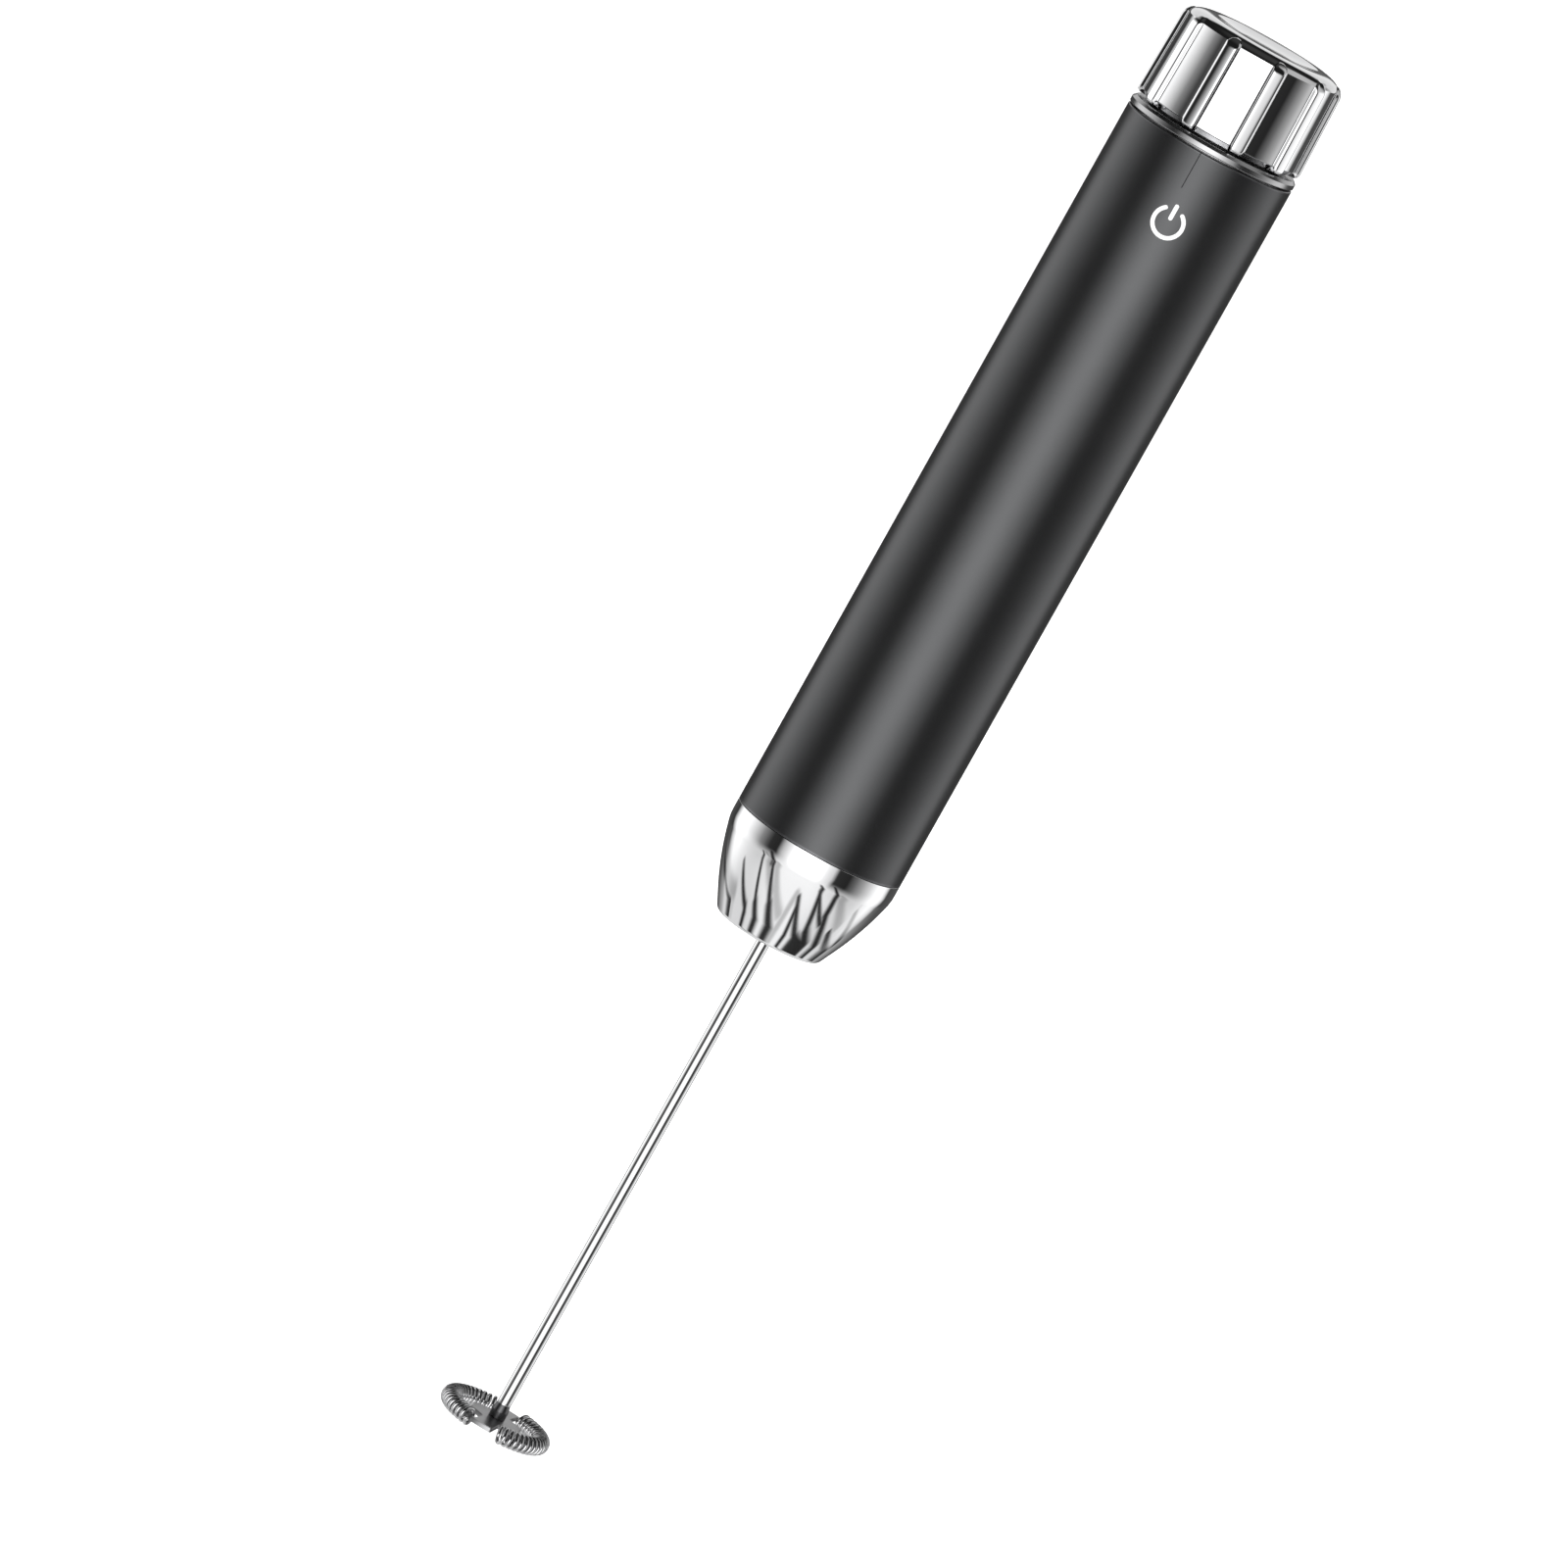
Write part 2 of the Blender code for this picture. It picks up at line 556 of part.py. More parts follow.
def motor_can(skins):
    bore = MOTOR_RADIUS - MOTOR_WALL
    seat = BUSH_RADIUS + FIT
    outline = [
        (seat, -MOTOR_BOSS_LENGTH),
        (MOTOR_BOSS_RADIUS, -MOTOR_BOSS_LENGTH),
        (MOTOR_BOSS_RADIUS, 0),
        (MOTOR_RADIUS - MOTOR_WALL, 0),
        (MOTOR_RADIUS, MOTOR_WALL),
        (MOTOR_RADIUS, MOTOR_CAN_LENGTH),
        (bore, MOTOR_CAN_LENGTH),
        (bore, MOTOR_WALL),
        (seat, MOTOR_WALL),
    ]
    can = spun("motor_can", outline, skins["plated_steel"], (0, 0, MOTOR_Z), LINER_STEPS)
    for side in (-1, 1):
        place = (side * MOTOR_SCREW_SPREAD, 0, MOTOR_Z - FIT)
        tool = disc("thread_hole", SCREW_RADIUS + FIT, MOTOR_WALL + 2 * FIT, None, place, steps=12)
        combine(can, tool, "DIFFERENCE")


def motor_end_cap(skins):
    bore = MOTOR_RADIUS - MOTOR_WALL
    depth = 2 * MOTOR_WALL
    seat = BUSH_RADIUS + FIT
    outline = [
        (seat, -depth),
        (bore - FIT, -depth),
        (bore - FIT, 0),
        (MOTOR_RADIUS, 0),
        (MOTOR_RADIUS, MOTOR_CAP_LENGTH / 2),
        (2 * BUSH_RADIUS, MOTOR_CAP_LENGTH / 2),
        (2 * BUSH_RADIUS, MOTOR_CAP_LENGTH),
        (0, MOTOR_CAP_LENGTH),
        (0, MOTOR_CAP_LENGTH - MOTOR_WALL),
        (seat, MOTOR_CAP_LENGTH - MOTOR_WALL),
    ]
    place = (0, 0, MOTOR_Z + MOTOR_CAN_LENGTH + FIT)
    spun("motor_end_cap", outline, skins["black_plastic"], place, LINER_STEPS)


def motor_bushes(skins):
    bore = MOTOR_SHAFT_RADIUS + SHAFT_FIT
    length = MOTOR_BOSS_LENGTH + MOTOR_WALL
    ring("front_bush", bore, BUSH_RADIUS, length, skins["bronze"], (0, 0, MOTOR_Z - MOTOR_BOSS_LENGTH))
    rear_z = MOTOR_TOP - MOTOR_WALL - FIT - length
    ring("rear_bush", bore, BUSH_RADIUS, length, skins["bronze"], (0, 0, rear_z))


def motor_magnets(skins):
    outer = MOTOR_RADIUS - MOTOR_WALL - FIT
    inner = outer - MAGNET_THICKNESS
    low = CORE_Z + (CORE_LENGTH - MAGNET_LENGTH) / 2
    for name, middle in (("magnet_front", -90), ("magnet_rear", 90)):
        start = middle - MAGNET_ARC / 2
        end = middle + MAGNET_ARC / 2
        outline = arc((0, 0), outer, start, end, 8) + arc((0, 0), inner, end, start, 8)
        plate(name, outline, MAGNET_LENGTH, skins["magnet_grey"], (0, 0, low))


def armature_core(skins, rotor):
    """Laminated core with three T-shaped poles round a bored hub."""
    outer = CORE_RADIUS
    shoe = outer - SHOE_THICKNESS
    half = STEM_WIDTH / 2
    hub = STEM_WIDTH
    reach = 180 / POLE_COUNT - 12
    outline = []
    for pole in range(POLE_COUNT):
        middle = 360 / POLE_COUNT * pole
        hub_angle = math.degrees(math.asin(half / hub))
        shoe_angle = math.degrees(math.asin(half / shoe))
        outline += arc((0, 0), hub, middle - hub_angle, middle - hub_angle, 1)[:1]
        outline += arc((0, 0), shoe, middle - shoe_angle, middle - reach, 4)
        outline += arc((0, 0), outer, middle - reach, middle + reach, 8)
        outline += arc((0, 0), shoe, middle + reach, middle + shoe_angle, 4)
        outline += arc((0, 0), hub, middle + hub_angle, middle + hub_angle, 1)[:1]
    place = (0, 0, CORE_Z)
    core = plate("armature_core", outline, CORE_LENGTH, skins["core_steel"], place, rotor)
    bore = MOTOR_SHAFT_RADIUS + SHAFT_FIT
    place = (0, 0, CORE_Z - FIT)
    tool = disc("core_bore", bore, CORE_LENGTH + 2 * FIT, None, place, rotor, steps=16)
    combine(core, tool, "DIFFERENCE")


def armature_windings(skins, rotor):
    """One rectangular coil round each pole's stem."""
    inner = STEM_WIDTH + 2 * FIT
    half = STEM_WIDTH / 2 + FIT
    low = CORE_Z - FIT
    high = CORE_Z + CORE_LENGTH + FIT
    build = WINDING_BUILD
    outer = math.sqrt((CORE_RADIUS - SHOE_THICKNESS) ** 2 - (half + build) ** 2) - FIT
    for pole in range(POLE_COUNT):
        block = box(
            "winding_%d" % (pole + 1),
            (inner, -half - build, low - build),
            (outer, half + build, high + build),
            skins["copper"], bevel=build / 3,
        )
        corners = ((inner - build, -half, low), (outer + build, half, high))
        tool = box("winding_window_%d" % (pole + 1), *corners, None)
        combine(block, tool, "DIFFERENCE")
        turn = Matrix.Rotation(math.tau / POLE_COUNT * pole, 4, "Z")
        for piece in (block, tool):
            piece.location = turn @ piece.location
            piece.rotation_euler = turn.to_euler()
            place = piece.location.copy()
            piece.parent = rotor
            piece.location = place - rotor.location


def rotor_pieces(skins, rotor):
    armature_core(skins, rotor)
    armature_windings(skins, rotor)
    bore = MOTOR_SHAFT_RADIUS + SHAFT_FIT
    place = (0, 0, COMMUTATOR_Z)
    ring("commutator", bore, COMMUTATOR_RADIUS, COMMUTATOR_LENGTH, skins["copper"], place, rotor)
    length = MOTOR_TOP - MOTOR_WALL - FIT - MOTOR_SHAFT_Z
    tip = MOTOR_SHAFT_RADIUS / 3
    outline = [
        (0, 0),
        (MOTOR_SHAFT_RADIUS - tip, 0),
        (MOTOR_SHAFT_RADIUS, tip),
        (MOTOR_SHAFT_RADIUS, length - FIT),
        (0, length - FIT),
    ]
    spun("motor_shaft", outline, skins["stainless"], (0, 0, MOTOR_SHAFT_Z), PIECE_STEPS, rotor)


def motor_brushes(skins):
    """Two carbon brushes that bear on the commutator from left and right."""
    near = COMMUTATOR_RADIUS + FIT
    far = near + BRUSH_LENGTH
    half = BRUSH_WIDTH / 2
    low = COMMUTATOR_Z + 2 * FIT
    high = low + BRUSH_HEIGHT
    box("brush_left", (-far, -half, low), (-near, half, high), skins["chip_black"])
    box("brush_right", (near, -half, low), (far, half, high), skins["chip_black"])


def motor_screws(skins):
    """Two pan-head screws up through the cup's floor into the motor's face."""
    length = CUP_FLOOR + 2 * FIT + MOTOR_WALL
    for name, side in (("motor_screw_left", -1), ("motor_screw_right", 1)):
        outline = [
            (0, -SCREW_HEAD),
            (SCREW_HEAD_RADIUS - EDGE, -SCREW_HEAD),
            (SCREW_HEAD_RADIUS, EDGE - SCREW_HEAD),
            (SCREW_HEAD_RADIUS, 0),
            (SCREW_RADIUS, 0),
            (SCREW_RADIUS, length),
            (0, length),
        ]
        place = (side * MOTOR_SCREW_SPREAD, 0, CUP_DECK - FIT)
        screw = spun(name, outline, skins["plated_steel"], place, 12)
        low = (place[0] - SCREW_HEAD_RADIUS, -EDGE, place[2] - 2 * SCREW_HEAD)
        high = (place[0] + SCREW_HEAD_RADIUS, EDGE, place[2] - SCREW_HEAD / 2)
        combine(screw, box(name + "_slot", low, high, None), "DIFFERENCE")


# ---- Cell, board and charging port --------------------------------------------------------------

def battery_cell(skins):
    groove = 0.5 * MM
    button = 3.0 * MM
    rise = 0.4 * MM
    top = CELL_LENGTH - rise
    outline = [
        (0, 0),
        (CELL_RADIUS - groove, 0),
        (CELL_RADIUS, groove),
        (CELL_RADIUS, top - 4 * groove),
        (CELL_RADIUS - groove, top - 3 * groove),
        (CELL_RADIUS, top - 2 * groove),
        (CELL_RADIUS - groove, top),
        (button, top),
        (button, CELL_LENGTH),
        (0, CELL_LENGTH),
    ]
    spun("battery_cell", outline, skins["cell_wrap"], (0, CELL_Y, CELL_Z), LINER_STEPS)


def battery_tab(name, flat_z, rise, skins):
    """Nickel strip across one end of the cell, turned along the board."""
    start = CELL_Y - TAB_WIDTH
    bend = flat_z + TAB_THICKNESS if rise > 0 else flat_z
    tip = bend + rise
    heel = flat_z if rise > 0 else flat_z + TAB_THICKNESS
    inner_y = TAB_END_Y - TAB_THICKNESS
    outline = [
        (start, heel),
        (TAB_END_Y, heel),
        (TAB_END_Y, tip),
        (inner_y, tip),
        (inner_y, bend),
        (start, bend),
    ]
    tab = plate(name, outline, TAB_WIDTH, skins["nickel"])
    tab.matrix_world = Matrix(((0, 0, 1, -TAB_WIDTH / 2), (1, 0, 0, 0), (0, 1, 0, 0), (0, 0, 0, 1)))


def circuit_board(skins):
    low = (-BOARD_HALF_WIDTH, BOARD_Y, BOARD_TOP - BOARD_LENGTH)
    high = (BOARD_HALF_WIDTH, BOARD_OUTER_Y, BOARD_TOP)
    box("circuit_board", low, high, skins["board_green"])
    half = CHIP_SIZE / 2
    face = BOARD_OUTER_Y + FIT
    middle = BOARD_TOP - BOARD_LENGTH / 2
    low = (-half, face, middle - half)
    high = (half, face + CHIP_THICKNESS, middle + half)
    box("charge_chip", low, high, skins["chip_black"])
    low = (-half, face, middle - 2 * CHIP_SIZE)
    high = (half, face + INDUCTOR_THICKNESS, middle - CHIP_SIZE)
    box("board_inductor", low, high, skins["magnet_grey"], bevel=EDGE)


def usb_socket(skins):
    depth = SOCKET_MOUTH_Y - SOCKET_Y
    facing = (math.radians(90), 0, math.radians(180))
    outer = slot_outline(SOCKET_HEIGHT, SOCKET_WIDTH)
    inner = slot_outline(SOCKET_HEIGHT - 2 * SOCKET_WALL, SOCKET_WIDTH - 2 * SOCKET_WALL)
    place = (0, SOCKET_Y, PORT_Z)
    socket = plate("usb_socket", outer, depth, skins["plated_steel"], place, turn=facing)
    place = (0, SOCKET_Y + 2 * SOCKET_WALL, PORT_Z)
    tool = plate("socket_bore", inner, depth, None, place, turn=facing)
    combine(socket, tool, "DIFFERENCE")


def port_cover(skins, cover_axis):
    """Soft cover that fills the sleeve's port, curved like the sleeve, with a tongue for the socket."""
    facing = (math.radians(90), 0, math.radians(180))
    outline = slot_outline(PORT_HEIGHT - 2 * FIT, PORT_WIDTH - 2 * FIT)
    place = (0, SOCKET_MOUTH_Y + FIT, PORT_Z)
    depth = BODY_RADIUS - SOCKET_MOUTH_Y
    cover = plate("port_cover", outline, depth, skins["rubber"], place, cover_axis, facing)
    place = (0, 0, PORT_Z - PORT_HEIGHT)
    limit = disc("sleeve_form", BODY_RADIUS, PORT_HEIGHT * 2, None, place, cover_axis, BODY_STEPS)
    combine(cover, limit, "INTERSECT")
    side = 2 * (SOCKET_WALL + FIT)
    tongue_outline = slot_outline(SOCKET_HEIGHT - side, SOCKET_WIDTH - side)
    place = (0, SOCKET_MOUTH_Y - PLUG_REACH, PORT_Z)
    tongue = plate("cover_tongue", tongue_outline, PLUG_REACH + 2 * FIT, None, place, cover_axis, facing)
    combine(cover, tongue, "UNION")


def motor_leads(skins):
    """Two insulated leads from the board, down past the lower bulkhead to the motor's cap."""
    top = BOARD_TOP - BOARD_LENGTH + TAB_TURN
    low = MOTOR_Z + MOTOR_CAN_LENGTH + 2 * FIT + MOTOR_CAP_LENGTH / 2
    y = LEDGE_Y - FIT - LEAD_RADIUS
    for name, side, skin in (("motor_lead_plus", -1, "lead_red"), ("motor_lead_minus", 1, "chip_black")):
        x = side * LEAD_SPREAD
        points = [(x, y, top), (x, y, LOWER_BULKHEAD_Z + BULKHEAD), (x, y, low)]
        wire(name, points, LEAD_RADIUS, skins[skin], sides=8)


# ---- Speed switch and knob ----------------------------------------------------------------------

def dial_switch(skins):
    """Rotary speed switch with a hollow body and a threaded bushing."""
    neck = SPINDLE_NECK_RADIUS + FIT
    chamber = WIPER_RADIUS + FIT
    chamber_low = SPINDLE_Z - FIT - SWITCH_Z
    chamber_high = SPINDLE_Z + WIPER_HEIGHT + FIT - SWITCH_Z
    top = SWITCH_HEIGHT + SWITCH_BUSHING
    outline = [
        (0, 0),
        (SWITCH_RADIUS, 0),
        (SWITCH_RADIUS, SWITCH_HEIGHT),
        (SWITCH_BUSHING_RADIUS, SWITCH_HEIGHT),
        (SWITCH_BUSHING_RADIUS, top),
        (neck, top),
        (neck, chamber_high),
        (chamber, chamber_high),
        (chamber, chamber_low),
        (0, chamber_low),
    ]
    spun("dial_switch", outline, skins["plated_steel"], (0, 0, SWITCH_Z), PIECE_STEPS)


def dial_nut(skins):
    outline = arc((0, 0), NUT_ACROSS / math.sqrt(3), 0, 300, 5)
    nut = plate("dial_nut", outline, NUT_HEIGHT, skins["plated_steel"], (0, 0, NUT_Z))
    place = (0, 0, NUT_Z - FIT)
    tool = disc("nut_bore", SWITCH_BUSHING_RADIUS + FIT, NUT_HEIGHT + 2 * FIT, None, place)
    combine(nut, tool, "DIFFERENCE")


def dial_spindle(skins, knob):
    """Spindle with the wiper at its foot and a flatted head that drives from the knob's hub."""
    head = SPINDLE_HEAD_Z - SPINDLE_Z
    outline = [
        (0, 0),
        (WIPER_RADIUS, 0),
        (WIPER_RADIUS, WIPER_HEIGHT),
        (SPINDLE_NECK_RADIUS, WIPER_HEIGHT),
        (SPINDLE_NECK_RADIUS, head),
        (SPINDLE_RADIUS, head),
        (SPINDLE_RADIUS, head + SPINDLE_HEAD - EDGE),
        (SPINDLE_RADIUS - EDGE, head + SPINDLE_HEAD),
        (0, head + SPINDLE_HEAD),
    ]
    spindle = spun("dial_spindle", outline, skins["stainless"], (0, 0, SPINDLE_Z), PIECE_STEPS, knob)
    flat = SPINDLE_RADIUS - SPINDLE_FLAT
    low = (-2 * SPINDLE_RADIUS, flat, HUB_Z)
    high = (2 * SPINDLE_RADIUS, 2 * SPINDLE_RADIUS, SPINDLE_HEAD_Z + SPINDLE_HEAD + FIT)
    combine(spindle, box("spindle_flat", low, high, None, knob), "DIFFERENCE")


def knob_hub(skins, knob):
    """Plastic insert pressed into the cap, with a D-shaped socket for the spindle."""
    outer = KNOB_BORE - FIT
    height = HUB_TOP - HUB_Z
    outline = [
        (0, height),
        (outer, height),
        (outer, 0),
        (outer - HUB_WALL, 0),
        (outer - HUB_WALL, height - HUB_WEB),
        (HUB_BOSS_RADIUS, height - HUB_WEB),
        (HUB_BOSS_RADIUS, 0),
        (0, 0),
    ]
    hub = spun("knob_hub", outline, skins["black_plastic"], (0, 0, HUB_Z), LINER_STEPS, knob)
    bore = SPINDLE_RADIUS + FIT
    flat = SPINDLE_RADIUS - SPINDLE_FLAT + FIT
    half = math.degrees(math.asin(flat / bore))
    depth = SPINDLE_HEAD_Z + SPINDLE_HEAD + FIT - HUB_Z
    place = (0, 0, HUB_Z - FIT)
    section = arc((0, 0), bore, 180 - half, 360 + half, 16)
    tool = plate("hub_socket", section, depth + FIT, None, place, knob)
    combine(hub, tool, "DIFFERENCE")


def rib_share(angle):
    """How much of a rib stands at an angle: 1 on a rib's crest, 0 on the panels."""
    spacing = 360 / RIB_COUNT
    off = (angle - RIB_AZIMUTH + spacing / 2) % spacing - spacing / 2
    half = math.degrees(RIB_WIDTH / 2 / KNOB_HEAD_RADIUS)
    if abs(off) >= half:
        return 0.0
    return math.sqrt(1 - (off / half) ** 2)


def rib_angles():
    """Angles of the knob's outline points: five over each rib and three on each panel."""
    spacing = 360 / RIB_COUNT
    half = math.degrees(RIB_WIDTH / 2 / KNOB_HEAD_RADIUS)
    angles = []
    for rib in range(RIB_COUNT):
        middle = RIB_AZIMUTH + spacing * rib
        angles += [middle + half * step for step in (-1.0, -0.8, 0.0, 0.8, 1.0)]
        panel = spacing - 2 * half
        angles += [middle + half + panel * step / 4 for step in (1, 2, 3)]
    return angles


def knob_cap(skins, knob):
    """Chromed cap: ribbed skirt, rounded top edge, dished crown, and a plain bore from below."""
    bm = bmesh.new()
    angles = rib_angles()

    def loop(radius, rib, height):
        verts = []
        for angle in angles:
            reach = radius + rib * rib_share(angle)
            turn = math.radians(angle)
            verts.append(bm.verts.new((reach * math.cos(turn), reach * math.sin(turn), height)))
        return verts

    foot = KNOB_FOOT_RADIUS - RIB_HEIGHT
    head = KNOB_HEAD_RADIUS - RIB_HEIGHT
    shoulder = KNOB_HEIGHT - KNOB_CORNER
    rings = [
        loop(KNOB_BORE, 0, KNOB_HEIGHT - KNOB_CROWN),
        loop(KNOB_BORE, 0, 0),
        loop(foot - KNOB_CHAMFER, 0, 0),
        loop(foot, 0, KNOB_CHAMFER),
        loop(foot, RIB_HEIGHT, KNOB_CHAMFER + EDGE),
        loop(head, RIB_HEIGHT, shoulder),
    ]
    for turn in (30, 60, 90):
        angle = math.radians(turn)
        rise = KNOB_CORNER * math.sin(angle)
        inset = KNOB_CORNER * (1 - math.cos(angle))
        rings.append(loop(head - inset, RIB_HEIGHT * (1 - turn / 90), shoulder + rise))
    rings.append(loop(DISH_RADIUS, 0, KNOB_HEIGHT))
    rings.append(loop(DISH_RADIUS * 0.7, 0, KNOB_HEIGHT - DISH_DEPTH))
    for lower, upper in zip(rings, rings[1:]):
        for index in range(len(angles)):
            after = (index + 1) % len(angles)
            bm.faces.new((lower[index], lower[after], upper[after], upper[index]))
    bm.faces.new(rings[0])
    bm.faces.new(rings[-1])
    keep_mesh("knob_cap", bm, skins["chrome"], (0, 0, KNOB_Z), knob)


# ---- Whisk --------------------------------------------------------------------------------------

def whisk_coupler(skins, whisk):
    """Push-on coupler: bored for the motor shaft above and for the whisk shaft below."""
    bore = MOTOR_SHAFT_RADIUS + SHAFT_FIT
    socket = WHISK_SHAFT_RADIUS + SHAFT_FIT
    top = COUPLER_TOP - COUPLER_Z
    outline = [
        (socket, 0),
        (COUPLER_RADIUS - EDGE, 0),
        (COUPLER_RADIUS, EDGE),
        (COUPLER_RADIUS, COUPLER_LENGTH - COUPLER_LIP_HEIGHT - COUPLER_LIP),
        (COUPLER_RADIUS + COUPLER_LIP, COUPLER_LENGTH - COUPLER_LIP_HEIGHT),
        (COUPLER_RADIUS + COUPLER_LIP, COUPLER_LENGTH - EDGE),
        (COUPLER_RADIUS, COUPLER_LENGTH),
        (COUPLER_NECK_RADIUS, COUPLER_LENGTH),
        (COUPLER_NECK_RADIUS - COUPLER_NECK_TAPER, top - EDGE),
        (COUPLER_NECK_RADIUS - COUPLER_NECK_TAPER - EDGE, top),
        (bore, top),
        (bore, top - COUPLER_BORE_DEPTH),
        (0, top - COUPLER_BORE_DEPTH),
        (0, COUPLER_SOCKET_DEPTH),
        (socket, COUPLER_SOCKET_DEPTH),
    ]
    spun("whisk_coupler", outline, skins["black_plastic"], (0, 0, COUPLER_Z), LINER_STEPS, whisk)


def whisk_shaft(skins, whisk):
    low = RING_Z + CARRIER_THICKNESS / 2 + FIT
    high = COUPLER_Z + COUPLER_SOCKET_DEPTH - FIT
    place = (0, 0, low)
    disc("whisk_shaft", WHISK_SHAFT_RADIUS, high - low, skins["stainless"], place, whisk, 16)


def whisk_carrier(skins, whisk):
    """Flat S-shaped stamping: a bar with a broad middle, and an arm running into each coil."""
    bar = CARRIER_BAR_WIDTH / 2
    web = CARRIER_WEB_WIDTH / 2
    flat = CARRIER_WEB_LENGTH / 2
    inner = RING_RADIUS - CARRIER_ARM_WIDTH / 2
    outer = RING_RADIUS + CARRIER_ARM_WIDTH / 2
    corner = math.degrees(math.asin(bar / outer))
    root = math.degrees(math.asin(bar / inner))
    half = arc((0, 0), outer, -corner, CARRIER_ARM_ARC, 20)
    half += arc((0, 0), inner, CARRIER_ARM_ARC, root, 20)
    half += [
        (flat + CARRIER_WEB_FLARE, bar),
        (flat, web),
        (-flat, web),
        (-flat - CARRIER_WEB_FLARE, bar),
    ]
    # the arms run clockwise from the ends of the bar, seen from above
    outline = [(x, -y) for x, y in reversed(half + [(-x, -y) for x, y in half])]
    place = (0, 0, RING_Z - CARRIER_THICKNESS / 2)
    turn = (0, 0, math.radians(COIL_GAP_AZIMUTH))
    plate("whisk_carrier", outline, CARRIER_THICKNESS, skins["stainless"], place, whisk, turn)


def whisk_coils(skins, whisk):
    """Two close-wound coils bent round the ring, with a gap front and rear."""
    span = 180 - COIL_GAP
    count = COIL_TURNS * WIRE_STEPS
    for name, start in (("whisk_coil_left", 0), ("whisk_coil_right", 180)):
        first = start + COIL_GAP_AZIMUTH + COIL_GAP / 2
        points = []
        for index in range(count + 1):
            along = math.radians(first + span * index / count)
            roll = math.tau * index / WIRE_STEPS
            radius = RING_RADIUS + COIL_RADIUS * math.cos(roll)
            height = RING_Z + COIL_RADIUS * math.sin(roll)
            points.append((radius * math.cos(along), radius * math.sin(along), height))
        wire(name, points, WIRE_RADIUS, skins["stainless"], whisk)


# ---- Assembly -----------------------------------------------------------------------------------

def build():
    clear_scene()
    skins = make_finishes()
    knob = axis_empty("knob_axis", (0, 0, KNOB_Z))
    rotor = axis_empty("rotor_axis", (0, 0, MOTOR_Z))
    whisk = axis_empty("whisk_axis", (0, 0, COUPLER_Z))
    cover = axis_empty("port_cover_axis", (0, BODY_RADIUS, PORT_Z))

    body_sleeve(skins)
    nose_cone(skins)
    seal_ring("nose_seal", LINER_RADIUS - RING_SECTION, NOSE_SPIGOT / 2, skins)
    collar_ring(skins)
    end_plug(skins)
    inner_frame(skins)
    motor_cup(skins)

    motor_can(skins)
    motor_end_cap(skins)
    motor_bushes(skins)
    motor_magnets(skins)
    motor_brushes(skins)
    motor_screws(skins)
    rotor_pieces(skins, rotor)

    battery_cell(skins)
    battery_tab("battery_tab_minus", LOWER_TAB_Z, TAB_TURN, skins)
    battery_tab("battery_tab_plus", UPPER_TAB_Z, -TAB_TURN, skins)
    circuit_board(skins)
    usb_socket(skins)
    motor_leads(skins)
    port_cover(skins, cover)

    dial_switch(skins)
    dial_nut(skins)
    dial_spindle(skins, knob)
    knob_hub(skins, knob)
    knob_cap(skins, knob)

    whisk_coupler(skins, whisk)
    whisk_shaft(skins, whisk)
    whisk_carrier(skins, whisk)
    whisk_coils(skins, whisk)


build()
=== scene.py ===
"""Looks for the hand-held milk frother: fine skins, finishes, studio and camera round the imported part.

The handle stands along Z with the knob up and the whisk down, and the origin is on the axis at the
seam between the sleeve and the nose.  Lengths are in metres, and MM turns millimetres into them.
"""

import math

import bmesh
import bpy
from mathutils import Matrix, Vector


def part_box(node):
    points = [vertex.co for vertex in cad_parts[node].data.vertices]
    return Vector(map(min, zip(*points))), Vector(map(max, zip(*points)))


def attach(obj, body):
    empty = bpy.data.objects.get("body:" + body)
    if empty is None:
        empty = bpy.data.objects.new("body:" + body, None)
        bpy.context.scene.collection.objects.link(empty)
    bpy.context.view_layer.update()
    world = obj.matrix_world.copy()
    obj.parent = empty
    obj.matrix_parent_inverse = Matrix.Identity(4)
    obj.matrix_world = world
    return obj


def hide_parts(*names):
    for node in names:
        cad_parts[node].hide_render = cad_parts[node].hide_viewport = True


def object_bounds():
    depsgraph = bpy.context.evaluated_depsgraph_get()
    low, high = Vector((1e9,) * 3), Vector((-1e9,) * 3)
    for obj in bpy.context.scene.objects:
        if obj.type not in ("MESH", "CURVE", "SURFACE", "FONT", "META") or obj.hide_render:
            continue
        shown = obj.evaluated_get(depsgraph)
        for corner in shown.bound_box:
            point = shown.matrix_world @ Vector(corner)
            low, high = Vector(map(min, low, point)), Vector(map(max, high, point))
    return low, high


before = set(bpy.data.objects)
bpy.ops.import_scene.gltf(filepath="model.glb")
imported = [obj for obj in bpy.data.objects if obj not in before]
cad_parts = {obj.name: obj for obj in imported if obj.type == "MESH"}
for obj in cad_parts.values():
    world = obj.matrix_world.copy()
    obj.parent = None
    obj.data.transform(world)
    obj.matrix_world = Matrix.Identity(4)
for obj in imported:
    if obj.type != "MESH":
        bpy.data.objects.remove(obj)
cad_low, cad_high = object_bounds()

MM = 0.001

# ---- Sizes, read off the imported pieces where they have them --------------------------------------

sleeve_low, sleeve_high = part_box("body_sleeve")
nose_low, nose_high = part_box("nose_cone")
collar_low, collar_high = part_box("collar_ring")
plug_low, plug_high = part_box("end_plug")
knob_low, knob_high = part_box("knob_cap")
cover_low, cover_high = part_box("port_cover")
coupler_low, coupler_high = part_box("whisk_coupler")
shaft_low, shaft_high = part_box("whisk_shaft")
carrier_low, carrier_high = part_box("whisk_carrier")

BODY_RADIUS = sleeve_high.x
SLEEVE_WALL = 1.0 * MM
SLEEVE_BORE = BODY_RADIUS - SLEEVE_WALL
LINER_RADIUS = SLEEVE_BORE - 0.3 * MM
EDGE = 0.25 * MM
FIT = 0.3 * MM

